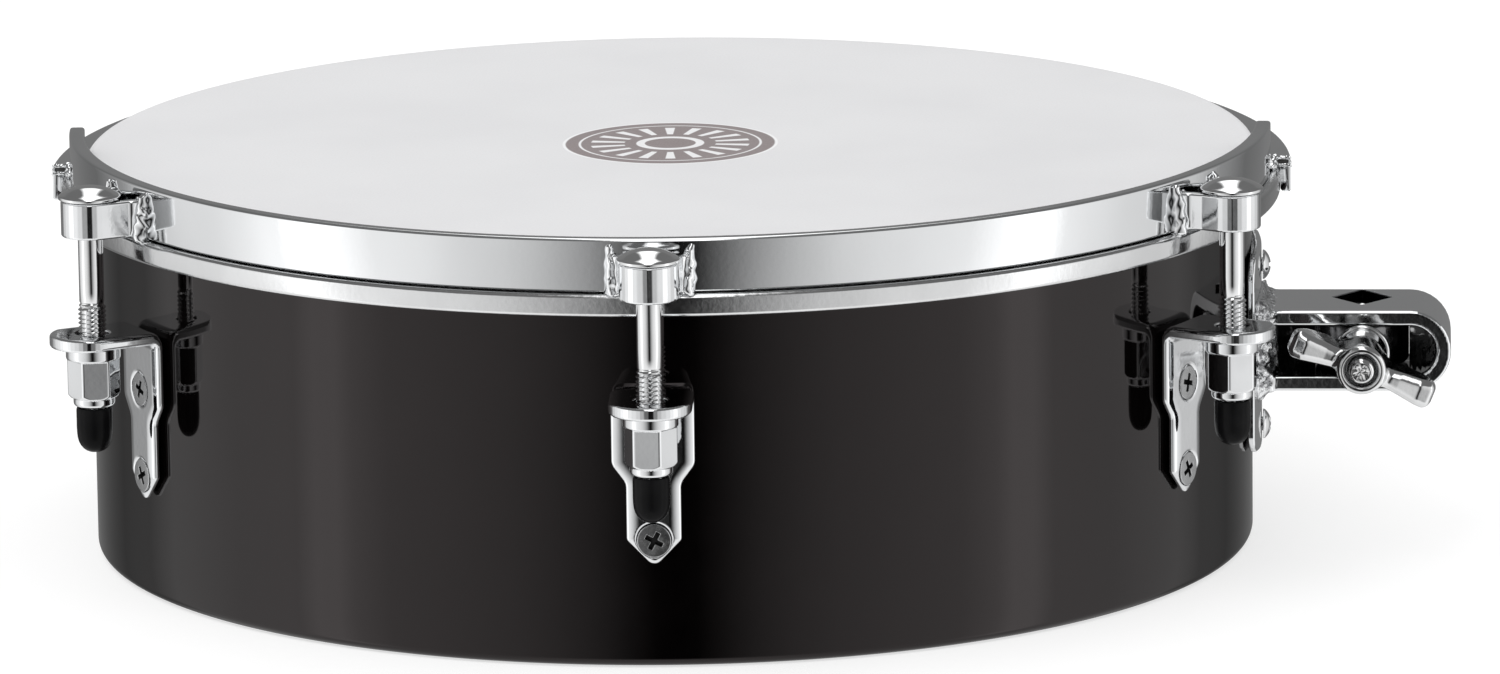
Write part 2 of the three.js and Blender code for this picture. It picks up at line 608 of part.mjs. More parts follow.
const drum = new THREE.Group();
addPiece(drum, 0, 'shell', shellGeometry(), shellLacquer());
addPiece(drum, 0, 'head_film', filmGeometry(), headFilm());
addPiece(drum, 0, 'flesh_hoop', hoopGeometry(), hoopMetal());
addPiece(drum, 0, 'rim', rimGeometry(), chrome('rim_chrome'));
drum.add(...LUG_AZ.map(buildLug), buildClamp());
drum.position.set(0, 0, -HEAD_TOP);

export default drum;
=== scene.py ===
"""A small drum: shell, coated head, split rim, six tensioned lugs and a rod clamp on its side.

Parts are modelled in millimetres: x across a lug, y = minus the distance from the drum's axis, z above
the shell's bottom edge. make() turns each one to its azimuth and lowers it into the row frame.
Azimuth 0 is the front (-Y, where the camera stands) and 90 is +X.
"""
import bpy
import math
import numpy as np
from mathutils import Matrix, Vector


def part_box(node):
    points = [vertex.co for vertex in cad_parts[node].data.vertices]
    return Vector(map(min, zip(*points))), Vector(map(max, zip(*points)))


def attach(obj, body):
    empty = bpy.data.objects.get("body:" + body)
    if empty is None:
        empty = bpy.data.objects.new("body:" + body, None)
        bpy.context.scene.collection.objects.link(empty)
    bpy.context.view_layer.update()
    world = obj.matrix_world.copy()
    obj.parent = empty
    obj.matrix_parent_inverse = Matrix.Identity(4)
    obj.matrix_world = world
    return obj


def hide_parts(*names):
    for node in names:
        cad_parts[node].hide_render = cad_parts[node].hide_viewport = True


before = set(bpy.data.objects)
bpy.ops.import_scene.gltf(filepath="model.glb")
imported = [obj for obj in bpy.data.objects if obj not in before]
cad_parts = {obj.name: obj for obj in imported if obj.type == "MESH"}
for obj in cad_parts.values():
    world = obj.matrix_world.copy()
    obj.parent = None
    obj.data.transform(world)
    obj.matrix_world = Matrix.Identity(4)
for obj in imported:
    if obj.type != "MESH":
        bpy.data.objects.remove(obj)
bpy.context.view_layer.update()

# ---------------------------------------------------------------- driving dimensions, mm and degrees
Z_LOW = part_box("shell")[0].z * 1000
LUGS = [-2 + 60 * i for i in range(6)]
REAR = LUGS[2:5]           # these have shorter bolts, held by bosses under the flange
CLAMP = 86
SHELL_R, SHELL_H, WALL = 164, 111.0, 1.2
LIP_R = 158                # inner edge of the shell's turned-in lips
HEAD_R, HEAD_TOP, HEAD_THICK = 164.9, 111.9, 0.6
BOLT_R = 181.0             # the tension bolts' axes, from the drum's axis
SWEEP_R = 170              # nominal radius for the end distances of the swept rim pieces
BRACKET_FACE = 167.3
LUG_SCREW_Z = (60.1, 35.7)
NUT_FACE = 162.3           # seat of the nuts inside the shell
NUT_THICK = 3.1
CLAMP_SCREW_Z = (77.0, 31.0)
STRAP_Z, STRAP_OUTER, STRAP_THICK, STRAP_HALF = 55.25, 11.45, 4.2, 15.5
STRAP_CENTRE = 220.0 - STRAP_OUTER       # axis of the strap's round end
EYE_X, EYE_R, EYE_Z = 4.5, 195, 55.1     # centre of the eyebolt's ring
HOLE_X, HOLE_R = 10.4, 8.5               # half diagonals of the strap's diamond hole


# ---------------------------------------------------------------- meshes
class Part:
    """vertices, normals (zero where none are set) and faces, gathered piece by piece"""

    def __init__(self):
        self.verts, self.normals = [], []
        self.loops, self.sizes, self.slots = [], [], []
        self.count = 0

    def add_faces(self, faces, slot, first):
        if len(faces):
            self.loops.append((faces + first).ravel())
            self.sizes.append(np.full(len(faces), faces.shape[1]))
            self.slots.append(np.full(len(faces), slot))

    def add(self, verts, faces, normals=None, slot=0):
        self.verts.append(verts)
        self.normals.append(np.zeros_like(verts) if normals is None else normals)
        for group in faces:
            self.add_faces(group, slot, self.count)
        self.count += len(verts)
        return self

    def merged(self, other, turn=None, shift=(0, 0, 0)):
        """other's geometry, turned by a 3x3 matrix and moved, added to this part"""
        turn = np.eye(3) if turn is None else np.array(turn)
        verts = np.concatenate(other.verts) @ turn.T + np.array(shift, float)
        self.verts.append(verts)
        self.normals.append(np.concatenate(other.normals) @ turn.T)
        self.loops += [loops + self.count for loops in other.loops]
        self.sizes += other.sizes
        self.slots += other.slots
        self.count += len(verts)
        return self

    def placed(self, turn=None, shift=(0, 0, 0)):
        return Part().merged(self, turn, shift)


def rot(axis, deg):
    c, s = math.cos(math.radians(deg)), math.sin(math.radians(deg))
    return {"x": [[1, 0, 0], [0, c, -s], [0, s, c]],
            "y": [[c, 0, s], [0, 1, 0], [-s, 0, c]],
            "z": [[c, -s, 0], [s, c, 0], [0, 0, 1]]}[axis]


Z_TO_X = [[0, 0, 1], [0, 1, 0], [-1, 0, 0]]
Z_TO_Y = rot("x", -90)


def make(name, part, azimuth, body, node, materials):
    turn = np.array(rot("z", azimuth)).T
    verts = np.concatenate(part.verts) @ turn
    normals = np.concatenate(part.normals) @ turn
    verts[:, 2] += Z_LOW
    verts *= 0.001
    loops, sizes = np.concatenate(part.loops), np.concatenate(part.sizes)
    mesh = bpy.data.meshes.new(name)
    mesh.vertices.add(len(verts))
    mesh.vertices.foreach_set("co", verts.astype(np.float32).ravel())
    mesh.loops.add(len(loops))
    mesh.loops.foreach_set("vertex_index", loops.astype(np.int32))
    mesh.polygons.add(len(sizes))
    mesh.polygons.foreach_set("loop_start", (np.cumsum(sizes) - sizes).astype(np.int32))
    mesh.polygons.foreach_set("material_index", np.concatenate(part.slots).astype(np.int32))
    mesh.polygons.foreach_set("use_smooth", np.ones(len(sizes), bool))
    mesh.update(calc_edges=True)
    mesh.validate()
    for material in materials:
        mesh.materials.append(material)
    mesh.set_sharp_from_angle(angle=math.radians(32))
    if np.abs(normals).sum() > 0:
        mesh.normals_split_custom_set_from_vertices(normals.astype(np.float32))
    ob = bpy.data.objects.new(name, mesh)
    bpy.context.scene.collection.objects.link(ob)
    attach(ob, body)
    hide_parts(node)


def fillet(points, radii, steps=6, closed=True):
    """a polyline with its corners rounded by arcs"""
    out, count = [], len(points)
    for i, (corner, radius) in enumerate(zip(points, radii)):
        if radius <= 0 or (not closed and i in (0, count - 1)):
            out.append(tuple(corner))
            continue
        before, after = np.array(points[i - 1], float), np.array(points[(i + 1) % count], float)
        corner = np.array(corner, float)
        len_in, len_out = np.linalg.norm(before - corner), np.linalg.norm(after - corner)
        u, w = (before - corner) / len_in, (after - corner) / len_out
        half = math.acos(max(-1, min(1, u @ w))) / 2
        reach = min(radius / math.tan(half), len_in * 0.49, len_out * 0.49)
        radius = reach * math.tan(half)
        centre = corner + (u + w) / np.linalg.norm(u + w) * math.hypot(radius, reach)
        start, end = corner + u * reach - centre, corner + w * reach - centre
        first = math.atan2(start[1], start[0])
        turn = (math.atan2(end[1], end[0]) - first + math.pi) % (2 * math.pi) - math.pi
        for k in range(steps + 1):
            t = first + turn * k / steps
            out.append((centre[0] + radius * math.cos(t), centre[1] + radius * math.sin(t)))
    return out


def arc(cx, cy, radius, start, end, steps):
    angles = [math.radians(start + (end - start) * k / steps) for k in range(steps + 1)]
    return [(cx + radius * math.cos(a), cy + radius * math.sin(a)) for a in angles]


def loft(rows, seg, loop=False):
    """rows of (radius or radii, height) about +Z; the signed volume tells which way faces look"""
    verts, rings, count = [], [], 0
    theta = np.arange(seg) * 2 * math.pi / seg
    for r, z in rows:
        if np.ndim(r) == 0 and r < 1e-6:
            verts.append([[0, 0, z]])
            rings.append(np.array([count]))
            count += 1
        else:
            r = np.broadcast_to(r, (seg,))
            verts.append(np.stack([r * np.sin(theta), -r * np.cos(theta), np.full(seg, z)], 1))
            rings.append(count + np.arange(seg))
            count += seg
    verts = np.concatenate(verts)
    quads, tris = [], [np.zeros((0, 3), int)]
    for a, b in zip(rings, rings[1:] + (rings[:1] if loop else [])):
        if len(a) == 1:
            tris.append(np.stack([np.full(seg, a[0]), b, np.roll(b, -1)], 1))
        elif len(b) == 1:
            tris.append(np.stack([a, np.full(seg, b[0]), np.roll(a, -1)], 1))
        else:
            quads.append(np.stack([a, b, np.roll(b, -1), np.roll(a, -1)], 1))
    quads, tris = np.concatenate(quads), np.concatenate(tris)
    t = np.concatenate([tris, quads[:, [0, 1, 2]], quads[:, [0, 2, 3]]])
    cross = np.cross(verts[t[:, 1]], verts[t[:, 2]])
    if np.einsum("ij,ij->i", verts[t[:, 0]], cross).sum() < 0:
        quads, tris = quads[:, ::-1], tris[:, ::-1]
    return verts, [quads, tris]


def lathe(rows, seg, loop=False):
    return Part().add(*loft(rows, seg, loop))


def sweep(profile, start, end, seg, drop=0.0):
    """a closed (R, z) profile carried round in azimuth, with eased ends; drop rounds top corners"""
    p = np.array(profile, float)
    mid = (p.max(0) + p.min(0)) / 2
    # stations are (azimuth, distance from the end in mm); 9 stands for any place clear of both
    near = [(math.degrees(t / SWEEP_R), t) for t in (0, 0.12, 0.3, 0.6, 1.0, 1.5)]
    last = near[-1][0]
    stations = [(start + d, t) for d, t in near]
    stations += [(a, 9) for a in np.linspace(start + last, end - last, seg + 1)[1:-1]]
    stations += [(end - d, t) for d, t in near[::-1]]
    verts = []
    for azimuth, t in stations:
        q = p.copy()
        ease = 0.35 * max(0.0, 1 - t / 0.3) ** 2
        q += np.sign(mid - q) * ease * (np.abs(q - mid) > ease)
        if t < drop:
            top = p[:, 1].max() - drop + math.sqrt(drop ** 2 - (drop - t) ** 2) - ease
            q[:, 1] = np.minimum(q[:, 1], top)
        c, s = math.cos(math.radians(azimuth)), math.sin(math.radians(azimuth))
        verts.append(np.stack([q[:, 0] * s, -q[:, 0] * c, q[:, 1]], 1))
    m, k = len(p), len(stations)
    i = np.arange(m)
    j = np.roll(i, -1)
    quads = np.concatenate([np.stack([i, j, j + m, i + m], 1) + n * m for n in range(k - 1)])
    faces = [quads, i[None, ::-1], i[None, :] + (k - 1) * m]
    if (p[:, 0] * np.roll(p[:, 1], -1) - np.roll(p[:, 0], -1) * p[:, 1]).sum() > 0:
        faces = [f[:, ::-1] for f in faces]
    return np.concatenate(verts), faces


def thread_rows(crest, root, pitch, z0, z1, seg, per_turn=7):
    """rows of a thread between two heights, running out at both ends"""
    theta = np.arange(seg) / seg
    count = int(round((z1 - z0) / pitch * per_turn))
    rows = []
    for k in range(count + 1):
        z = z0 + (z1 - z0) * k / count
        phase = (z / pitch - theta) % 1
        ridge = np.clip((1 - np.abs(2 * phase - 1)) * 1.25 - 0.12, 0, 1)
        fade = min(1, (z - z0) / pitch, (z1 - z) / pitch)
        rows.append((root + (crest - root) * ridge * max(0, fade), z))
    return rows


# ---------------------------------------------------------------- shapes from distance fields
def outline(points, x, y):
    """signed distance to a closed outline, negative inside"""
    nearest, sign = np.inf, 1.0
    for (ax, ay), (bx, by) in zip(points, points[-1:] + points[:-1]):
        ex, ey = bx - ax, by - ay
        wx, wy = x - ax, y - ay
        t = np.clip((wx * ex + wy * ey) / max(ex * ex + ey * ey, 1e-12), 0, 1)
        nearest = np.minimum(nearest, (wx - ex * t) ** 2 + (wy - ey * t) ** 2)
        above, below, left = y >= ay, y < by, ex * wy > ey * wx
        sign = np.where((above & below & left) | (~above & ~below & ~left), -sign, sign)
    return sign * np.sqrt(nearest)


def soft_min(a, b, k):
    h = np.maximum(k - np.abs(a - b), 0) / k
    return np.minimum(a, b) - h * h * k * 0.25


def soft_max(a, b, k):
    return -soft_min(-a, -b, k)


def round_max(a, b, r, r2=None):
    """both of two shapes, the edge between them rounded; r along the first, r2 along the second"""
    r2 = r if r2 is None else r2
    u, w = a / r + 1, b / r2 + 1
    corner = np.hypot(np.maximum(u, 0), np.maximum(w, 0))
    return (np.minimum(np.maximum(u, w), 0) + corner - 1) * min(r, r2)


def lumps(x, y, z, scale, seed):
    """two octaves of four random waves each"""
    rng = np.random.RandomState(seed)
    out, amp = 0, 1.0
    for octave in range(2):
        for _ in range(4):
            k = rng.normal(size=3)
            k = k / np.linalg.norm(k) * (2 * math.pi / scale) * (1.7 ** octave)
            out = out + amp * np.sin(k[0] * x + k[1] * y + k[2] * z + rng.uniform(0, 6.28)) / 4
        amp *= 0.6
    return out


def solid(field, low, high, step):
    """a quad mesh of the surface where field is zero in a box, with the field's own normals"""
    low, high = np.array(low, float), np.array(high, float)
    n = np.ceil((high - low) / step).astype(int) + 1
    x, y, z = [low[k] + step * np.arange(n[k]) for k in range(3)]
    dist = field(x[:, None, None], y[None, :, None], z[None, None, :])
    dist = np.broadcast_to(dist, n).astype(np.float32)
    inside = dist < 0
    # one vertex in each cell, at the mean of the crossings on the cell's edges
    m = n - 1
    total, pos = np.zeros(m, np.int8), [np.zeros(m, np.float32) for _ in range(3)]
    for k in range(3):
        a, b = [i for i in range(3) if i != k]
        for da in (0, 1):
            for db in (0, 1):
                s0, s1 = [None] * 3, [None] * 3
                s0[k], s1[k] = slice(0, m[k]), slice(1, m[k] + 1)
                s0[a] = s1[a] = slice(da, m[a] + da)
                s0[b] = s1[b] = slice(db, m[b] + db)
                d0, d1 = dist[tuple(s0)], dist[tuple(s1)]
                cross = (d0 < 0) != (d1 < 0)
                total += cross
                pos[k] += np.where(cross, d0 / np.where(cross, d0 - d1, 1), 0)
                pos[a] += cross * da
                pos[b] += cross * db
    active = total > 0
    cells = np.argwhere(active)
    index = np.full(m, -1, np.int64)
    index[active] = np.arange(len(cells))
    verts = np.stack([(cells[:, k] + pos[k][active] / total[active]) * step + low[k]
                      for k in range(3)], 1)
    # one quad round each grid edge that crosses the surface
    quads = []
    for k, a, b in ((0, 1, 2), (1, 2, 0), (2, 0, 1)):
        s0, s1 = [slice(None)] * 3, [slice(None)] * 3
        s0[k], s1[k] = slice(0, m[k]), slice(1, m[k] + 1)
        for s in (s0, s1):
            s[a], s[b] = slice(1, m[a]), slice(1, m[b])
        i0, i1 = inside[tuple(s0)], inside[tuple(s1)]
        at = np.argwhere(i0 != i1)
        if not len(at):
            continue
        flip = i1[tuple(at.T)]
        at[:, a] += 1
        at[:, b] += 1
        ea, eb = np.eye(3, dtype=int)[a], np.eye(3, dtype=int)[b]
        q = np.stack([index[tuple(c.T)] for c in (at - ea - eb, at - eb, at, at - ea)], 1)
        q[flip] = q[flip][:, ::-1]
        quads.append(q)
    quads = np.concatenate(quads)
    quads = quads[(quads >= 0).all(1)]

    def value(p):
        return np.broadcast_to(field(p[:, 0], p[:, 1], p[:, 2]), (len(p),))

    def gradient(p, e):
        return np.stack([(value(p + e * u) - value(p - e * u)) / (2 * e) for u in np.eye(3)], 1)

    for _ in range(3):     # pull the vertices onto the surface
        g = gradient(verts, 0.02)
        move = np.clip(value(verts) / np.maximum((g * g).sum(1), 0.2), -0.6 * step, 0.6 * step)
        verts = verts - move[:, None] * g
    g = gradient(verts, 0.05)
    g /= np.maximum(np.linalg.norm(g, axis=1), 1e-9)[:, None]
    return verts, [quads], g


# ---------------------------------------------------------------- shader nodes
class Shader:
    """short ways to add nodes to a material or world"""

    def __init__(self, owner):
        owner.use_nodes = True
        self.owner, self.tree = owner, owner.node_tree

    def new(self, kind, **props):
        node = self.tree.nodes.new(kind)
        for key, value in props.items():
            setattr(node, key, value)
        return node

    def put(self, socket, value):
        if isinstance(value, bpy.types.NodeSocket):
            self.tree.links.new(value, socket)
        elif isinstance(value, tuple) and socket.type == "RGBA":
            socket.default_value = (*value, 1)
        else:
            socket.default_value = value

    def math(self, op, *values, clamp=False):
        node = self.new("ShaderNodeMath", operation=op, use_clamp=clamp)
        for socket, value in zip(node.inputs, values):
            self.put(socket, value)
        return node.outputs[0]

    def mul(self, a, b):
        return self.math("MULTIPLY", a, b)

    def add(self, a, b):
        return self.math("ADD", a, b)

    def sub(self, a, b):
        return self.math("SUBTRACT", a, b)

    def length(self, a, b):
        return self.math("SQRT", self.add(self.mul(a, a), self.mul(b, b)))

    def ramp(self, value, start, end, lo=0.0, hi=1.0, kind="SMOOTHSTEP"):
        """lo up to start, hi from end on"""
        node = self.new("ShaderNodeMapRange", interpolation_type=kind)
        for socket, setting in zip(node.inputs, (value, start, end, lo, hi)):
            self.put(socket, setting)
        return node.outputs[0]

    def table(self, value, points):
        """piecewise linear lookup"""
        lo, hi = points[0][0], points[-1][0]
        node = self.new("ShaderNodeValToRGB")
        self.put(node.inputs[0], self.ramp(value, lo, hi, kind="LINEAR"))
        stops = node.color_ramp.elements
        for (x, y), stop in zip((points[0], points[-1]), (stops[0], stops[1])):
            stop.position = (x - lo) / (hi - lo)
            stop.color = (y, y, y, 1)
        for x, y in points[1:-1]:
            stops.new((x - lo) / (hi - lo)).color = (y, y, y, 1)
        return node.outputs[0]

    def mix(self, factor, a, b):
        node = self.new("ShaderNodeMix", data_type="RGBA")
        for i, value in ((0, factor), (6, a), (7, b)):
            self.put(node.inputs[i], value)
        return node.outputs[2]

    def coords(self, kind="Object"):
        return self.new("ShaderNodeTexCoord").outputs[kind]

    def separate(self, vector):
        node = self.new("ShaderNodeSeparateXYZ")
        self.put(node.inputs[0], vector)
        return node.outputs

    def noise(self, scale, detail=2.0, rough=0.5):
        node = self.new("ShaderNodeTexNoise")
        self.put(node.inputs["Vector"], self.coords())
        node.inputs["Scale"].default_value = scale
        node.inputs["Detail"].default_value = detail
        node.inputs["Roughness"].default_value = rough
        return node.outputs[0]

    def bump(self, height, strength, distance, normal=None):
        node = self.new("ShaderNodeBump")
        self.put(node.inputs["Strength"], strength)
        node.inputs["Distance"].default_value = distance
        self.put(node.inputs["Height"], height)
        if normal is not None:
            self.put(node.inputs["Normal"], normal)
        return node.outputs[0]

    def set(self, **values):
        for key, value in values.items():
            self.put(self.tree.nodes["Principled BSDF"].inputs[key.replace("_", " ")], value)
        return self.owner


def new_material(name):
    return Shader(bpy.data.materials.new(name))


# ---------------------------------------------------------------- materials
def chrome(name, tint=(0.80, 0.81, 0.82), rough=0.035, smear=0.05, scale=120, peel=0.015, fine=0.0):
    """bright metal: smear adds roughness in blots, peel and fine are bump heights in mm"""
    mat = new_material(name)
    blot = mat.ramp(mat.noise(scale, detail=3, rough=0.6), start=0.35, end=0.75)
    clouds = mat.ramp(mat.noise(scale * 0.35), start=0.3, end=0.8)
    base = mat.mix(clouds, tint, tuple(c * 0.9 for c in tint))
    normal = mat.bump(mat.noise(scale=700, rough=0.4), 1.0, peel * 0.001)
    if fine:
        normal = mat.bump(mat.noise(scale=2600, detail=3, rough=0.7), 1.0, fine * 0.001, normal)
    return mat.set(Base_Color=base, Metallic=1.0, Roughness=mat.add(mat.mul(blot, smear), rough),
                   Normal=normal)


def film_material():
    """white coated film with a printed dark spot at the centre of its top"""
    mat = new_material("film_coated")
    x, y, z = mat.separate(mat.coords())
    radius = mat.mul(mat.length(x, y), 1000.0)
    grain = mat.noise(scale=1500, detail=4, rough=0.65)
    cloud = mat.ramp(mat.noise(scale=14, detail=3), start=0.3, end=0.75)
    base = mat.mix(cloud, (0.735, 0.735, 0.745), (0.70, 0.70, 0.712))
    speckle = mat.ramp(grain, start=0.45, end=0.75, hi=0.35)
    base = mat.mix(speckle, base, (0.66, 0.66, 0.67))

    def band(inner, outer, soft=0.18):
        return mat.mul(mat.ramp(radius, inner - soft, inner + soft),
                       mat.ramp(radius, outer - soft, outer + soft, lo=1, hi=0))

    # pale rays, a small ring inside them and a thin one outside, on a dark disc with a pale border
    disc = mat.ramp(radius, start=29.3, end=29.8, lo=1, hi=0)
    border = band(29.7, 30.4)
    wave = mat.math("ABSOLUTE", mat.math("SINE", mat.mul(mat.math("ARCTAN2", y, x), 9.0)))
    rays = mat.mul(mat.ramp(wave, start=0.80, end=0.88), band(13.0, 22.5))
    pale = mat.math("MAXIMUM", mat.math("MAXIMUM", rays, band(7.2, 9.6)), band(25.2, 25.9),
                    clamp=True)
    mark = mat.mix(pale, (0.262, 0.226, 0.226), (0.80, 0.80, 0.81))
    top = mat.ramp(z, start=-0.00045, end=-0.0002)
    base = mat.mix(mat.mul(disc, top), base, mark)
    base = mat.mix(mat.mul(border, top), base, (0.86, 0.86, 0.87))
    height = mat.add(mat.mul(mat.noise(scale=2200, detail=4, rough=0.7), 0.6),
                     mat.mul(mat.noise(scale=420, detail=3), 0.4))
    return mat.set(Base_Color=base, Roughness=mat.ramp(grain, 0.3, 0.7, lo=0.42, hi=0.58),
                   Normal=mat.bump(height, strength=0.5, distance=0.00006),
                   Specular_IOR_Level=0.35, Subsurface_Weight=0.06,
                   Subsurface_Radius=(0.001, 0.001, 0.001))


def lacquer_material():
    mat = new_material("gloss_lacquer")
    cloud = mat.ramp(mat.noise(scale=60, detail=3, rough=0.6), start=0.3, end=0.8)
    blot = mat.noise(scale=90, detail=3, rough=0.6)
    return mat.set(Base_Color=mat.mix(cloud, (0.0008, 0.0006, 0.0006), (0.0016, 0.0012, 0.0012)),
                   Roughness=mat.ramp(blot, 0.3, 0.8, lo=0.025, hi=0.055), IOR=1.43,
                   Specular_Tint=(1.0, 0.90, 0.90),
                   Normal=mat.bump(mat.noise(scale=330, rough=0.4), 1.0, distance=0.000002))


def rubber_material():
    mat = new_material("black_rubber")
    grain = mat.noise(scale=1900, detail=4, rough=0.7)
    cloud = mat.ramp(mat.noise(scale=160, detail=3), start=0.3, end=0.8)
    return mat.set(Base_Color=mat.mix(cloud, (0.0040, 0.0040, 0.0043), (0.0075, 0.0074, 0.0078)),
                   Roughness=mat.ramp(grain, 0.3, 0.7, lo=0.17, hi=0.26),
                   Specular_IOR_Level=0.06,
                   Normal=mat.bump(grain, strength=0.4, distance=0.00003))


# painted shade: the screws' driver recesses are coloured near black for the shade inside them
def recess_shade_material():
    mat = new_material("driver_recess_painted_shade")
    grain = mat.noise(scale=900, detail=3, rough=0.6)
    return mat.set(Base_Color=mat.mix(grain, (0.010, 0.010, 0.010), (0.028, 0.028, 0.029)),
                   Metallic=0.6, Roughness=0.45,
                   Normal=mat.bump(grain, strength=0.5, distance=0.00001))


def plated_material(name, tint, rough):
    mat = new_material(name)
    grain = mat.noise(scale=500, detail=3, rough=0.6)
    base = mat.mix(mat.ramp(grain, 0.3, 0.75), tint, tuple(c * 0.86 for c in tint))
    normal = mat.bump(mat.noise(scale=1500, detail=3, rough=0.6), strength=0.6, distance=0.00001)
    return mat.set(Base_Color=base, Metallic=1.0, Normal=normal,
                   Roughness=mat.ramp(grain, 0.3, 0.8, lo=rough, hi=rough + 0.14))


def clamp_material():
    """the clamp: bright plating, rough and pitted round the welded root; inside the strap and in its
    diamond hole the colour is painted shade, with a few painted highlights in the slot
    """
    mat = new_material("clamp_bracket_plating")
    x, y, z = mat.separate(mat.coords())
    radius = mat.mul(mat.length(x, y), 1000.0)
    root = mat.mul(mat.ramp(radius, start=169.8, end=171.2, lo=1, hi=0),
                   mat.ramp(radius, start=166.75, end=167.2))
    # the clamp's own axes: outward from the drum and across
    c, s = 1000 * math.cos(math.radians(CLAMP)), 1000 * math.sin(math.radians(CLAMP))
    outward = mat.sub(mat.mul(x, s), mat.mul(y, c))
    across = mat.add(mat.mul(x, c), mat.mul(y, s))
    past = mat.math("MAXIMUM", mat.sub(outward, STRAP_CENTRE), 0.0)
    height = mat.sub(mat.mul(z, 1000.0), STRAP_Z - HEAD_TOP)
    # inner marks where shade is painted: the inside of the strap's round end
    inner = mat.ramp(mat.length(past, height), start=7.35, end=7.75, lo=1, hi=0)
    inner = mat.mul(inner, mat.ramp(outward, start=170.0, end=171.4))
    # hole marks where shade is painted: the walls of the diamond hole through both legs
    to_x = mat.mul(mat.math("ABSOLUTE", mat.sub(across, EYE_X)), 1 / HOLE_X)
    to_r = mat.mul(mat.math("ABSOLUTE", mat.sub(outward, float(EYE_R))), 1 / HOLE_R)
    hole = mat.ramp(mat.add(to_x, to_r), start=1.0, end=1.035, lo=1, hi=0)

    pits = mat.noise(scale=520, detail=4, rough=0.7)
    fine = mat.bump(mat.noise(scale=700, rough=0.4), 1.0, distance=0.000016)
    normal = mat.bump(pits, mat.mul(root, 0.8), distance=0.0006, normal=fine)
    blot = mat.ramp(mat.noise(scale=110, detail=3, rough=0.6), start=0.35, end=0.75)
    rough = mat.add(mat.mul(blot, 0.05), mat.add(mat.mul(root, 0.12), 0.04))
    base = mat.mix(mat.mul(root, mat.ramp(pits, start=0.45, end=0.6)),
                   (0.80, 0.81, 0.82), (0.30, 0.30, 0.31))
    # painted shade and painted highlights: the slot inside the strap's round end is painted near black
    # as shade, with a few bright runs painted as highlights
    slot_shade_and_glints = mat.noise(scale=190, detail=3, rough=0.6)
    slot_shade_and_glints = mat.ramp(slot_shade_and_glints, start=0.60, end=0.68, lo=0.035, hi=0.5)
    base = mat.mix(inner, base, mat.mix(slot_shade_and_glints, (0.0, 0.0, 0.0), (1.0, 1.0, 1.0)))
    # painted shade: the hole's walls are coloured near black
    base = mat.mix(hole, base, (0.05, 0.05, 0.052))
    return mat.set(Base_Color=base, Metallic=1.0, Roughness=rough, Normal=normal)


LACQUER = lacquer_material()
FILM = film_material()
HOOP_METAL = chrome("hoop_aluminium", tint=(0.74, 0.745, 0.75), rough=0.10, smear=0.08, scale=160,
                    peel=0.03, fine=0.010)
RIM_CHROME = chrome("rim_plating", scale=60, peel=0.008)
WELD = chrome("rim_weld_plating", tint=(0.82, 0.83, 0.84), rough=0.05, scale=200, peel=0.012)
BRACKET_CHROME = chrome("bracket_plating", scale=140, peel=0.01)
BOLT_CHROME = chrome("bolt_plating", tint=(0.82, 0.825, 0.83), rough=0.04, scale=200, peel=0.008)
NUT_CHROME = chrome("nut_plating", rough=0.045, scale=220, peel=0.01)
MOUNT_CHROME = clamp_material()
CLAMP_CHROME = chrome("clamp_plating", tint=(0.79, 0.795, 0.80), rough=0.05, smear=0.08,
                      scale=240, peel=0.03, fine=0.006)
SCREW_METAL = plated_material("screw_plating", tint=(0.50, 0.505, 0.51), rough=0.20)
ZINC = plated_material("inner_nut_zinc", tint=(0.60, 0.59, 0.56), rough=0.28)
# painted shade: the eye and its neck sit between the strap's legs and get a dark grey tint for the
# shade there, while the rod outside keeps the bright plating
EYE_SHADED_METAL = chrome("eye_plating_painted_shade", tint=(0.24, 0.24, 0.245), rough=0.16, smear=0.1,
                   scale=240, peel=0.04)
RECESS_PAINTED_SHADE = recess_shade_material()
SAWN_METAL = chrome("sawn_end", tint=(0.10, 0.10, 0.10), rough=0.30, smear=0.1, scale=400,
                    peel=0.05)
RUBBER = rubber_material()

# ---------------------------------------------------------------- shell, head and hoop: (R, z)
inner_r = SHELL_R - WALL
shell = fillet([(LIP_R, 0), (SHELL_R, 0), (SHELL_R, SHELL_H), (LIP_R, SHELL_H),
                (LIP_R, SHELL_H - WALL), (inner_r, SHELL_H - WALL), (inner_r, WALL), (LIP_R, WALL)],
               [0.5, 2.6, 2.6, 0.5, 0.5, 1.6, 1.6, 0.5], 8)
rows = []
for (r0, z0), (r1, z1) in zip(shell, shell[1:] + shell[:1]):
    k = max(1, int(math.hypot(r1 - r0, z1 - z0) / 6))
    rows += [(r0 + (r1 - r0) * i / k, z0 + (z1 - z0) * i / k) for i in range(k)]
make("shell_wall", lathe(rows, 320, loop=True), 0, "drum_body", "shell", [LACQUER])

SKIRT_Z, HEAD_CORNER = 99.5, 2.4
under_r, under_z = HEAD_R - HEAD_THICK, HEAD_TOP - HEAD_THICK
outer = fillet([(0, HEAD_TOP), (HEAD_R, HEAD_TOP), (HEAD_R, SKIRT_Z)], [0, HEAD_CORNER, 0], 10,
               closed=False)
inner = fillet([(under_r, SKIRT_Z), (under_r, under_z), (0, under_z)],
               [0, HEAD_CORNER - HEAD_THICK, 0], 10, closed=False)
rows = [(r, HEAD_TOP) for r in (0, 4, 12, 24, 40, 60, 85, 110, 135, 150, 158)]
rows += outer[1:] + inner[:-1] + [(r, under_z) for r in (150, 100, 50, 0)]
make("head_skin", lathe(rows, 320), 0, "drum_body", "head_film", [FILM])

hoop = fillet([(165.25, 98.1), (172, 98.1), (172, 104.2), (165.25, 104.2)], [0.5, 1.2, 1.3, 0.3], 8)
make("flesh_ring", lathe(hoop, 320, loop=True), 0, "rim_assembly", "flesh_hoop",
     [HOOP_METAL])

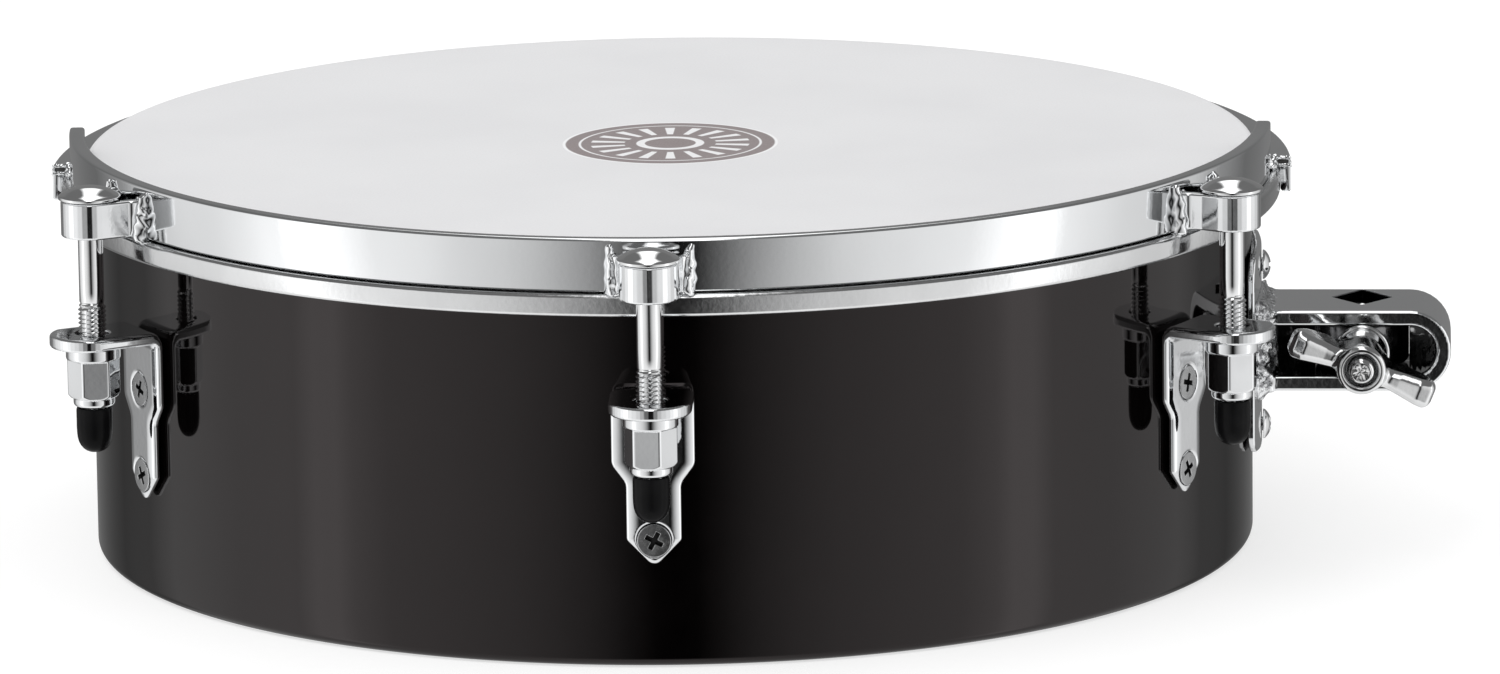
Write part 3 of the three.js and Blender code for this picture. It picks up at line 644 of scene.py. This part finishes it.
# ---------------------------------------------------------------- rim and its loops
# plan of a loop that stands out from the bar round a bolt: (x, R)
LOOP = [(-11.7, 167.8)]
LOOP += fillet([(-11.7, 168.6), (-11.4, 169.8), (-8.6, 172.2), (-8, 176)], [0, 0.5, 2.2, 0], 5,
               closed=False)[1:]
LOOP += arc(0, BOLT_R, 8, 180, 0, 18)
LOOP += fillet([(8, 176), (8.6, 172.2), (11.4, 169.8), (11.7, 168.6)], [0, 2.2, 0.5, 0], 5,
               closed=False)[1:]
LOOP += [(11.7, 167.8), (6.9, 167.8)]
LOOP += fillet([(6.7, 168.6), (5.6, 171.2), (5, 175)], [0, 2.0, 0], 5, closed=False)
LOOP += arc(0, BOLT_R, 5, 0, 180, 15)
LOOP += fillet([(-5, 175), (-5.6, 171.2), (-6.7, 168.6)], [0, 2.0, 0], 5, closed=False)
LOOP += [(-6.9, 167.8)]

# weld metal down both sides of each foot:
# x, lean, half width, half depth, taper height, half height, roughness, seed
BEADS = [(-10.4, -0.08, 2.2, 3.3, 13.8, 6.9, 0.36, 104), (10.4, 0.08, 2.2, 3.3, 13.8, 6.9, 0.36, 105),
         (-6.2, 0, 1.0, 1.0, 11.0, 5.2, 0.2, 62), (6.2, 0, 1.0, 1.0, 11.0, 5.2, 0.2, 63)]


def loop_field(x, y, z):
    R = -y
    body = round_max(outline(LOOP, x, R), np.abs(z - 110.05) - 5.05, 0.75)
    weld = 10.0
    for cx, lean, width, depth, rise, half, rough, seed in BEADS:
        t = np.clip((z - 103.9) / rise, 0, 1)
        taper = 0.35 + 0.65 * (1 - t ** 2.2)     # narrower towards the top
        q = np.sqrt(((x - cx - lean * (z - 110)) / (width * taper)) ** 2
                    + ((R - 169.3) / (depth * taper)) ** 2)
        q = (q - 1) * depth * taper * 0.8
        q = soft_max(q, np.abs(z - 110.8) - half, 1.0)
        weld = np.minimum(weld, q + rough * lumps(x, y, z, 4.2, seed))
    return soft_min(body, weld, 0.7)


def boss_field(x, y, z):
    """a bored boss for a rear bolt, on an arm from a short wall against the flange"""
    R = -y
    c = np.hypot(x, R - BOLT_R)
    wall = np.maximum(np.abs(R - 173.7) - 1.0, np.abs(x) - 8.6)
    arm = np.maximum(np.maximum(np.abs(x) - 7.4, 174.0 - R), R - BOLT_R)
    d = soft_min(np.minimum(c - 7.4, arm), wall, 1.6)
    d = soft_max(d, np.maximum(90.4 - z, z - 100.0), 0.7)
    d = np.maximum(d, 172.9 - R)
    return soft_max(d, -(c - 4.2), 0.5)


TACKS = [  # blobs of the tack weld: x, R, z, radius
    (-2.6, 169.5, 105.5, 1.1), (-1.4, 169.7, 105.2, 1.4), (-0.1, 169.8, 105.7, 1.5),
    (1.2, 170.0, 106.2, 1.4), (2.2, 170.6, 106.8, 1.1), (-1.2, 166.8, 106.4, 1.3),
    (0.6, 167.5, 106.6, 1.2), (-2.3, 168.6, 106.8, 1.1)]


def joint_field(x, y, z):
    """a burred frame round the flange's sawn end, and the tack weld that joins it to the bar's foot"""
    R = -y
    edge = np.maximum(np.abs(R - 170.9) - 3.7, np.abs(z - 105.75) - 1.05)
    d = np.hypot(edge, x - 2.5) - 0.5
    for cx, cr, cz, radius in TACKS:
        d = soft_min(d, np.sqrt((x - cx) ** 2 + (R - cr) ** 2 + (z - cz) ** 2) - radius, 0.5)
    return d + 0.2 * lumps(x, y, z, 1.8, 91)


loop_part = Part().add(*solid(loop_field, (-17.2, -190, 103.2), (17.2, -167, 118.6), 0.42), slot=1)
boss_part = Part().add(*solid(boss_field, (-9.6, -189.2, 89.6), (9.6, -172.0, 100.8), 0.4), slot=1)
joint_v, joint_f, joint_n = solid(joint_field, (-4.6, -176, 96.6), (3.6, -164.4, 109), 0.3)
mirror = np.array([-1.0, 1.0, 1.0])

# sections (R, z): the upright front bar, its low ends, the rear angle and the angle's sawn ends
BAR = fillet([(165.2, 104.5), (169.4, 104.5), (169.4, 119), (165.2, 119)], [0.5, 0.6, 1.0, 1.0])
LOW = fillet([(165.3, 104.6), (169.3, 104.6), (169.3, 106.9), (165.3, 106.9)],
             [0.3, 0.3, 0.5, 0.5], 4)
ANGLE = fillet([(165.2, 104.4), (172.4, 104.4), (172.4, 97), (175, 97), (175, 107), (165.2, 107)],
               [0.4, 0.9, 0.7, 0.7, 1.3, 0.7])
SAWN = [(167.6, 104.95), (174.2, 104.95), (174.2, 106.5), (167.6, 106.5)]
rim = Part()
rim.add(*sweep(BAR, -90, 85, 220, drop=1.1))
rim.add(*sweep(LOW, 84, 89.5, 10))
rim.add(*sweep(LOW, 266.3, 271, 10))
rim.add(*sweep(ANGLE, 87.5, 268.3, 220))
rim.add(*sweep(SAWN, 87.42, 88.6, 2), slot=2)
rim.add(*sweep(SAWN, 267.2, 268.38, 2), slot=2)
for azimuth in LUGS:
    rim.merged(boss_part if azimuth in REAR else loop_part, rot("z", azimuth))
rim.merged(Part().add(joint_v, joint_f, joint_n, slot=1), rot("z", 86.6))
joint_f = [f[:, ::-1] for f in joint_f]
rim.merged(Part().add(joint_v * mirror, joint_f, joint_n * mirror, slot=1), rot("z", 269.2))
make("rim_ring", rim, 0, "rim_assembly", "rim", [RIM_CHROME, WELD, SAWN_METAL])

# ---------------------------------------------------------------- tension bolts: (r, z)
BOLT_SEG, SHANK_R = 44, 3.45


def bolt_part(crown, edge, edge_radii, shank_z):
    rows = crown + fillet(edge, [0, *edge_radii, 0], 5, closed=False)
    rows += [(SHANK_R, z) for z in shank_z]
    rows += thread_rows(3.9, 3.2, 1.25, 50.9, 86.2, BOLT_SEG)[::-1] + [(2.9, 50.5), (0, 50.5)]
    return lathe(rows, BOLT_SEG).placed(None, (0, -BOLT_R, 0))


front_bolt = bolt_part(
    [(0, 119.0), (1.5, 118.95), (3.2, 118.72), (5.0, 118.2), (6.6, 117.45), (7.8, 116.75)],
    [(8.0, 116.7), (8.65, 116.2), (8.65, 115.4), (3.9, 115.4)], (0.45, 0.25),
    (115.0, 108, 100, 92, 86.6))
rear_bolt = bolt_part(
    [(0, 102.7), (1.4, 102.65), (3.0, 102.35), (4.4, 101.8)],
    [(5.2, 101.4), (5.7, 101.0), (5.7, 100.3), (3.9, 100.3)], (0.35, 0.2),
    (99.9, 92, 86.6))

# ---------------------------------------------------------------- lug brackets
# side view (R, z), view from outside (x, z) and plan (x, R)
ELL = fillet([(164.3, 10), (BRACKET_FACE, 10), (BRACKET_FACE, 74.1), (206, 74.1), (206, 77.7),
              (164.3, 77.7)], [0, 0, 1.4, 0, 0, 3.8], 8)
FRONT = fillet([(0, 28.1), (7.45, 35.8), (7.45, 51.4), (11.3, 56.6), (11.3, 95), (-11.3, 95),
                (-11.3, 56.6), (-7.45, 51.4), (-7.45, 35.8)],
               [2.4, 1.6, 4.0, 4.0, 0, 0, 4.0, 4.0, 1.6])
PLAN = [(-11.3, 150), (11.3, 150)] + arc(0, 181.7, 11.3, 0, 180, 30)


def bracket_field(x, y, z):
    R = -y
    ell = outline(ELL, R, z)
    d = np.maximum(round_max(outline(FRONT, x, z), ell, 3.4, 1.3),
                   round_max(outline(PLAN, x, R), ell, 0.9, 0.9))
    d = soft_max(d, -(np.hypot(x, R - BOLT_R) - 4.6), 0.5)
    for screw_z in LUG_SCREW_Z:
        c = np.hypot(x, z - screw_z)
        cone = (c - np.maximum(2.4, 5.25 + (R - BRACKET_FACE) * 1.06)) * 0.69
        d = soft_max(d, -np.maximum(cone, R - 169.6), 0.3)
    return d


bracket = Part().add(*solid(bracket_field, (-12.2, -194, 27), (12.2, -163.4, 78.8), 0.42))


# ---------------------------------------------------------------- tension nuts, caps
def hexagon(x, y, flats, k):
    d = soft_max(np.abs(x), np.abs(0.5 * x + 0.8660254 * y), k)
    return soft_max(d, np.abs(-0.5 * x + 0.8660254 * y), k) - flats / 2


def nut_field(x, y, z):
    """a bored hexagon with a collar above and a round ring below"""
    r = np.hypot(x, y)
    body = round_max(hexagon(x, y, 12.75, 0.45), np.maximum(59.7 - z, z - 71.5), 0.35)
    body = soft_max(body, (r - 6.45 - (z - 59.7) * 0.85) * 0.76, 0.25)
    collar = round_max(r - 7.55, np.abs(z - 72.2) - 1.7, 0.55)
    ring = round_max(r - 5.75, np.abs(z - 58.8) - 1.6, 1.1)
    d = soft_min(soft_min(body, collar, 0.35), ring, 0.35)
    bore = r - 4.15 - np.maximum(0, 0.6 - (z - 57.2)) * 0.9
    return soft_max(d, -bore, 0.3)


tension_nut = Part().add(*solid(nut_field, (-8.6, -8.6, 56.4), (8.6, 8.6, 74.8), 0.3))
NUT_TURN = [22, -7, -12, 24, 3, 40]

CAP = [  # (r, z) up the outside, over the lip and down the bore
    (0, 44.1), (0.9, 44.13), (1.8, 44.32), (2.6, 44.68), (3.35, 45.25), (4.0, 46.05), (4.5, 47.0),
    (4.82, 48.1), (4.98, 49.4), (5.05, 51.0), (5.05, 53.5), (5.05, 55.9), (5.0, 56.35),
    (4.86, 56.7), (4.6, 56.88), (4.35, 56.9), (4.27, 56.8), (4.25, 56.4), (4.25, 52),
    (4.25, 47.4), (3.9, 47.0), (0, 47.0)]
cap = lathe(CAP, 56).placed(None, (0, -BOLT_R, 0))


# ---------------------------------------------------------------- screws and their nuts
# modelled along y at the origin, +y into the drum
def cross_recess(p, q, depth, half, wide):
    half, wide = -half + depth * 0.30, -wide + depth * 0.14
    return soft_min(np.maximum(np.abs(p) + half, np.abs(q) + wide),
                    np.maximum(np.abs(q) + half, np.abs(p) + wide), 0.25)


def screw_field(x, y, z):
    """a countersunk head with its rim at R = 0"""
    R = -y
    c = np.hypot(x, z)
    d = round_max(c - 4.62, R - 0.02 + 0.0035 * c * c, 0.28)
    d = np.maximum(d, (c - (4.62 + R * 1.02) - 0.30) * 0.70)
    d = np.maximum(d, -R - 3.2)
    hole = np.maximum(cross_recess(x, z, -R, 2.6, 0.66), -R - 1.6)
    return soft_max(d, -hole, 0.14)


def countersunk_head():
    """the driver recess gets a material of its own: near black, painted shade for the shade inside it
    """
    verts, (quads,), normals = solid(screw_field, (-5.1, -0.5, -5.1), (5.1, 3.4, 5.1), 0.17)
    c = verts[quads].mean(1)
    # faces deep inside the recess take the painted shade
    shaded_recess_faces = (c[:, 1] > 0.30) & (np.hypot(c[:, 0], c[:, 2]) < 2.9)
    shaded_recess_faces &= normals[quads].mean(1)[:, 1] < 0.3
    part = Part().add(verts, [quads[~shaded_recess_faces]], normals)
    part.add_faces(quads[shaded_recess_faces], slot=1, first=0)
    return part


def dome_field(x, y, z):
    R = -y
    c = np.hypot(x, z)
    ball = np.sqrt(c * c + (R + 3.2) ** 2) - 5.55
    d = round_max(ball, np.maximum(c - 4.2, -R), 0.25)
    hole = np.maximum(cross_recess(x, z, 2.35 - R, 2.5, 0.62), 0.75 - R)
    return soft_max(d, -hole, 0.16)


def screw_part(head, shank, turn, shank_start, shift):
    part = head.placed(rot("y", turn)).merged(shank, Z_TO_Y, (0, shank_start, 0))
    return part.placed(None, shift)


def hex_nut(flats, bore, reach, step):
    """reach is the half width of the sampled box"""
    def field(x, y, z):
        c = np.hypot(x, z)
        half = NUT_THICK / 2
        d = round_max(hexagon(x, z, flats, 0.3), np.abs(y - half) - half, 0.2)
        edge = flats / 2 + 0.15 + (half - np.abs(y - half)) * 1.5
        d = soft_max(d, (c - edge) * 0.6, 0.15)
        return soft_max(d, -(c - bore), 0.2)
    return Part().add(*solid(field, (-reach, -0.5, -reach), (reach, 3.6, reach), step))


flat_head = countersunk_head()
flat_shank = lathe([(0, 0.9), (2.0, 0.9), (2.0, 1.3)] + thread_rows(2.0, 1.62, 0.8, 1.5, 8.6, 20, 4)
                   + [(1.5, 9.0), (0, 9.0)], 20)
small_nut = hex_nut(7, 2.05, 4.4, 0.22)
big_nut = hex_nut(8, 2.45, 5, 0.24)

SCREW_TURN = [62, 27, 15, -24, 40, 8, 71, 33, -10, 52, 20, 64]
for i, az in enumerate(LUGS):
    n = i + 1
    bolt = rear_bolt if az in REAR else front_bolt
    nut = tension_nut.placed(rot("z", NUT_TURN[i]), (0, -BOLT_R, 0))
    make(f"lug_plate_{n}", bracket, az, "drum_body", f"lug_bracket_{n}",
         [BRACKET_CHROME])
    make(f"tension_rod_{n}", bolt, az, "rim_assembly", f"tension_bolt_{n}",
         [BOLT_CHROME])
    make(f"collar_nut_{n}", nut, az, f"tension_nut_{n}", f"hex_nut_{n}", [NUT_CHROME])
    make(f"end_cap_{n}", cap, az, f"tension_nut_{n}", f"rubber_cap_{n}", [RUBBER])
    for k, z in enumerate(LUG_SCREW_Z):
        s = 2 * i + k
        screw = screw_part(flat_head, flat_shank, SCREW_TURN[s], 1.0, (0, -BRACKET_FACE, z))
        make(f"lug_screw_{s + 1}", screw, az, "drum_body", f"bracket_screw_{s + 1}",
             [SCREW_METAL, RECESS_PAINTED_SHADE])
        nut = small_nut.placed(rot("y", 17 * s), (0, -NUT_FACE, z))
        make(f"inner_nut_{s + 1}", nut, az, "drum_body", f"screw_nut_{s + 1}", [ZINC])

# ---------------------------------------------------------------- rod clamp: base plate and strap
# base plate (x, z)
BASE = fillet([(-22.6, 29), (-18.5, 26.9), (-8, 25.6), (8, 25.6), (18.5, 26.9), (22.6, 29),
               (23.5, 32), (23.5, 78), (20.5, 83), (-20.5, 83), (-23.5, 78), (-23.5, 32)],
              [2, 4, 8, 8, 4, 2, 2, 5, 3, 3, 5, 2])
# side view of the strap, and of the same shape filled (R, z)
strap_in = STRAP_OUTER - STRAP_THICK
FULL = [(160, STRAP_Z + STRAP_OUTER)] + arc(STRAP_CENTRE, STRAP_Z, STRAP_OUTER, 90, -90, 18) + \
    [(160, STRAP_Z - STRAP_OUTER)]
STRAP = FULL + [(160, STRAP_Z - STRAP_OUTER + STRAP_THICK)] + \
    arc(STRAP_CENTRE, STRAP_Z, strap_in, -90, 90, 14) + [(160, STRAP_Z + STRAP_OUTER - STRAP_THICK)]
# the hole through both legs (x, R)
DIAMOND = [(EYE_X - HOLE_X, EYE_R), (EYE_X, EYE_R + HOLE_R), (EYE_X + 10.3, EYE_R),
           (EYE_X, EYE_R - HOLE_R)]


def mount_field(x, y, z):
    R = np.hypot(x, y)
    u = -y
    plate = round_max(outline(BASE, x, z), np.abs(R - 165.6) - 1.1, 0.9, 0.6)
    strap = round_max(np.abs(x) - STRAP_HALF, outline(STRAP, u, z), 0.8)
    # a web fills the strap near its +x edge, but for a gap in the middle of its length
    gap = np.minimum(u - 181.75, 208.25 - u)
    web = np.maximum(np.abs(x - 13.3) - 1.7, np.maximum(outline(FULL, u, z) + 1.5, gap))
    strap = np.minimum(strap, web)
    strap = soft_max(strap, -outline(DIAMOND, x, u), 0.4)
    strap = np.maximum(strap, 165.2 - R)
    # welded root: lumpy metal that flares towards the plate on the outer faces of the legs
    near = np.clip((170.9 - u) / 3.6, 0, 1)
    swell = 2.3 * near ** 2 + 0.7 * lumps(x, y, z, 3.4, 5) * np.clip((171.2 - u) / 2.0, 0, 1)
    keep = np.clip((np.abs(z - STRAP_Z) - 4.0) / 3.0, 0, 1)
    d = soft_min(strap - swell * keep, plate, 1.6)
    # a ragged bead along the root's two x edges
    for side in (-1, 1):
        bead = np.sqrt((x - side * 15.0) ** 2 + ((R - 166.9) * 0.85) ** 2
                       + np.maximum(np.abs(z - STRAP_Z) - 9.8, 0) ** 2) - 2.65
        d = soft_min(d, bead + 0.75 * lumps(x, y, z, 3.0, 17 + side), 0.5)
    for screw_z in CLAMP_SCREW_Z:
        d = soft_max(d, -(np.hypot(x, z - screw_z) - 2.8), 0.3)
    return soft_max(d, 164.5 - R, 0.25)


mount = Part().add(*solid(mount_field, (-25, -221.2, 24.6), (25, -162.0, 84.2), 0.5))
make("clamp_bracket", mount, CLAMP, "drum_body", "mount_bracket", [MOUNT_CHROME])

dome_head = Part().add(*solid(dome_field, (-4.8, -3, -4.8), (4.8, 0.6, 4.8), 0.18))
dome_shank = lathe([(0, -0.3), (2.4, -0.3)] + thread_rows(2.4, 1.95, 0.8, 0.2, 10.2, 22, 4)
                   + [(1.8, 10.7), (0, 10.7)], 22)
for k, z in enumerate(CLAMP_SCREW_Z):
    screw = screw_part(dome_head, dome_shank, (14, 51)[k], 0, (0, -167.0, z))
    make(f"clamp_screw_{k + 1}", screw, CLAMP, "drum_body", f"mount_screw_{k + 1}",
         [CLAMP_CHROME])
    nut = big_nut.placed(rot("y", 25 * k), (0, -NUT_FACE, z))
    make(f"clamp_inner_nut_{k + 1}", nut, CLAMP, "drum_body", f"mount_nut_{k + 1}",
         [ZINC])

# ---------------------------------------------------------------- eyebolt, washer, wing nut
ROD_AXIS = (0, -EYE_R, EYE_Z)      # the rod runs along x and sticks out towards -x


def eye_field(x, y, z):
    r = np.hypot(x - EYE_X, y + EYE_R)
    ring = round_max(np.abs(r - 9.95) - 3.25, np.abs(z - EYE_Z) - 6.5, 1.5)
    c = np.hypot(y + EYE_R, z - EYE_Z)
    neck = round_max(c - 4.3, np.maximum(-8.4 - x, x + 3.6), 0.6)
    return soft_min(ring, neck, 3.0)


# the ring and neck take the painted shade (slot 1)
eye = Part().add(*solid(eye_field, (-11, -209, 47.6), (19, -181, 62.6), 0.42), slot=1)
rows = [(0, -42.75), (0.6, -42.9), (1.1, -42.65), (1.6, -42.95), (2.1, -42.8), (2.6, -43.0),
        (3.05, -42.75)]
rows += thread_rows(3.5, 2.92, 1.0, -42.6, -12.5, 40) + [(3.5, -12.0), (3.5, -6.5), (0, -6.5)]
v, f = loft(rows, 40)
# the end is roughly cut off
x, y = v[:, 0], v[:, 1]
torn = np.clip((2.7 - np.hypot(x, y)) / 0.6, 0, 1) * (v[:, 2] < -42.5)
v[:, 2] += torn * (0.26 * np.sin(2.9 * x + 1.3 * y + 0.7) * np.cos(2.1 * y - 1.7 * x)
                   + 0.12 * np.sin(5.3 * x - 4.1 * y))
eye.merged(Part().add(v, f), Z_TO_X, ROD_AXIS)
make("rod_eyebolt", eye, CLAMP, "eyebolt", "eyebolt", [CLAMP_CHROME, EYE_SHADED_METAL])

rows = fillet([(3.95, -15.8), (7.9, -15.8), (7.9, -17.8), (3.95, -17.8)], [0.3, 0.7, 0.7, 0.3], 5)
washer = lathe(rows, 64, loop=True).placed(Z_TO_X, ROD_AXIS)
make("thrust_washer", washer, CLAMP, "drum_body", "clamp_washer", [CLAMP_CHROME])

# one wing (distance from the rod's axis, x)
WING = fillet([(2, -20.5), (7, -21.8), (13.5, -25.2), (18.6, -29.6), (21.6, -35.4), (20.9, -40.2),
               (17, -41.2), (11, -39.6), (2, -38.2)], [0, 2, 4, 4, 3.0, 2.0, 2.5, 5, 0])
HUB_X, HUB_R = [-41.2, -38.6, -36.0, -23.0, -19.8, -18.0], [6.85, 6.85, 6.15, 6.3, 7.15, 7.3]


def wing_field(x, y, z):
    c = np.hypot(y, z)
    hub = round_max(c - np.interp(x, HUB_X, HUB_R), np.maximum(x + 18.1, -41 - x), 1.25)
    reach = np.abs(y)
    thick = 2.8 + 1.2 * np.clip((reach - 8) / 11, 0, 1)
    wing = round_max(outline(WING, reach, x), np.abs(z) - thick, 2.5)
    bore = c - 3.75 - 0.95 * np.clip((-37.6 - x) / 0.8, 0, 1)
    return soft_max(soft_min(hub, wing, 2.4), -bore, 0.9)


wing = Part().add(*solid(wing_field, (-42.4, -22.8, -8.4), (-17, 22.8, 8.4), 0.34))
wing = wing.placed(rot("x", 22), ROD_AXIS)
make("wing_nut_cast", wing, CLAMP, "wing_nut", "wing_nut", [CLAMP_CHROME])

# ---------------------------------------------------------------- stage: floor, light, camera
# degrees from -Y to either side, brightness of the studio there
AROUND = [(0, 0.003), (4, 0.015), (9, 0.14), (16, 0.38), (24, 0.60), (32, 0.78), (40, 0.88),
          (48, 0.97), (58, 1.06), (66, 1.35), (70, 1.68), (75, 1.62), (80, 1.13), (88, 1.0),
          (96, 0.88), (104, 0.83), (118, 0.68), (128, 0.32), (142, 0.16), (160, 0.21), (180, 0.21)]
AROUND_GAIN = 0.98


def around(mat, dx, dy):
    """dark gap behind the camera, strip lights at both sides, dim behind the drum"""
    angle = mat.math("ABSOLUTE", mat.math("ARCTAN2", dx, mat.mul(dy, -1.0)))
    angle = mat.mul(angle, 180 / math.pi)
    both = mat.table(angle, [(a, level * AROUND_GAIN) for a, level in AROUND])
    # the left (-X) strip light is the wider one
    wide = mat.mul(mat.ramp(angle, start=72, end=84), mat.ramp(angle, 110, 126, lo=1, hi=0))
    left = mat.mul(wide, mat.ramp(dx, start=-0.3, end=0.0, lo=0.12, hi=0.0))
    return mat.mul(both, mat.add(left, 1.0))


def floor_material():
    mat = new_material("floor_paper")
    mat.set(Base_Color=(0.42, 0.42, 0.42), Roughness=0.9, Specular_IOR_Level=0.0,
            Emission_Color=(1.0, 1.0, 1.0), Emission_Strength=0.65)

    def mix_shader(factor, a, b):
        node = mat.new("ShaderNodeMixShader")
        for socket, value in zip(node.inputs, (factor, a, b)):
            mat.put(socket, value)
        return node.outputs[0]

    geometry = mat.new("ShaderNodeNewGeometry")
    dx, dy, dz = (mat.mul(s, -1.0) for s in mat.separate(geometry.outputs["Incoming"]))
    emit = mat.new("ShaderNodeEmission")
    mat.put(emit.inputs["Strength"], around(mat, dx, dy))
    # in reflections the paper shows the studio, but straight down it always looks white
    steep = mat.ramp(mat.math("ABSOLUTE", dz), start=0.45, end=0.75)
    glossy = mat.new("ShaderNodeLightPath").outputs["Is Glossy Ray"]
    paper = mix_shader(mat.mul(glossy, mat.sub(1.0, steep)),
                       mat.tree.nodes["Principled BSDF"].outputs[0], emit.outputs[0])
    # seen from underneath the paper is clear
    clear = mat.new("ShaderNodeBsdfTransparent").outputs[0]
    mat.put(mat.tree.nodes["Material Output"].inputs["Surface"],
            mix_shader(geometry.outputs["Backfacing"], paper, clear))
    return mat.owner


FLOOR_HALF = 8.0    # metres
floor_mesh = bpy.data.meshes.new("floor")
floor_mesh.from_pydata([(sx * FLOOR_HALF, sy * FLOOR_HALF, 0)
                        for sx, sy in ((-1, -1), (1, -1), (1, 1), (-1, 1))], [], [(0, 1, 2, 3)])
floor = bpy.data.objects.new("floor", floor_mesh)
floor.location.z = Z_LOW * 0.001 - 0.0003
bpy.context.scene.collection.objects.link(floor)
floor_mesh.materials.append(floor_material())

world = bpy.data.worlds.new("studio")
bpy.context.scene.world = world
sky = Shader(world)
dx, dy, dz = sky.separate(sky.coords("Generated"))
low = sky.ramp(dz, start=0.40, end=0.55, lo=1, hi=0)
# a long box overhead
over = sky.mul(sky.ramp(sky.math("ABSOLUTE", dx), start=0.09, end=0.20, lo=1, hi=0),
               sky.ramp(sky.math("ABSOLUTE", dy), start=0.78, end=0.88, lo=1, hi=0))
OVER_LEVEL, CEILING_LEVEL, AMBIENT = 1.7, 0.17, 1.0
high = sky.add(sky.mul(over, OVER_LEVEL), CEILING_LEVEL)
level = sky.add(sky.mul(around(sky, dx, dy), low), sky.mul(sky.sub(1.0, low), high))
# only reflections see the studio; all other rays get an even light
glossy = sky.new("ShaderNodeLightPath").outputs["Is Glossy Ray"]
strength = sky.add(sky.mul(sky.sub(1.0, glossy), AMBIENT), sky.mul(glossy, level))
background = world.node_tree.nodes["Background"]
sky.put(background.inputs["Color"], (1.0, 1.0, 1.0))
sky.put(background.inputs["Strength"], strength)

key = bpy.data.lights.new("key", "AREA")
key.shape = "DISK"
key.size = 1.6
key.energy = 9
key_ob = bpy.data.objects.new("key", key)
key_ob.location = (-0.7, -0.6, 1.9)
aim = Vector((0, 0, -0.05)) - Vector(key_ob.location)
key_ob.rotation_euler = aim.to_track_quat("-Z", "Y").to_euler()
bpy.context.scene.collection.objects.link(key_ob)
key_ob.visible_glossy = False

pitch, roll = math.radians(12.04), 0.014      # both in radians; the camera looks down along +Y
forward = Vector((0, math.cos(pitch), -math.sin(pitch)))
level_right, level_up = Vector((1, 0, 0)), Vector((0, math.sin(pitch), math.cos(pitch)))
right = level_right * math.cos(roll) - level_up * math.sin(roll)
up = level_up * math.cos(roll) + level_right * math.sin(roll)
cam_data = bpy.data.cameras.new("camera")
cam = bpy.data.objects.new("camera", cam_data)
bpy.context.scene.collection.objects.link(cam)
pose = Matrix((right, up, -forward)).transposed().to_4x4()
pose.translation = Vector((0, -3.0288, 0.5942))
cam.matrix_world = pose
cam_data.sensor_width = 36
cam_data.lens = 262.2675
cam_data.shift_x = 0.0515
cam_data.shift_y = -0.0097
cam_data.clip_end = 60
bpy.context.scene.camera = cam
bpy.context.scene.view_settings.view_transform = "Standard"
bpy.context.scene.view_settings.look = "None"
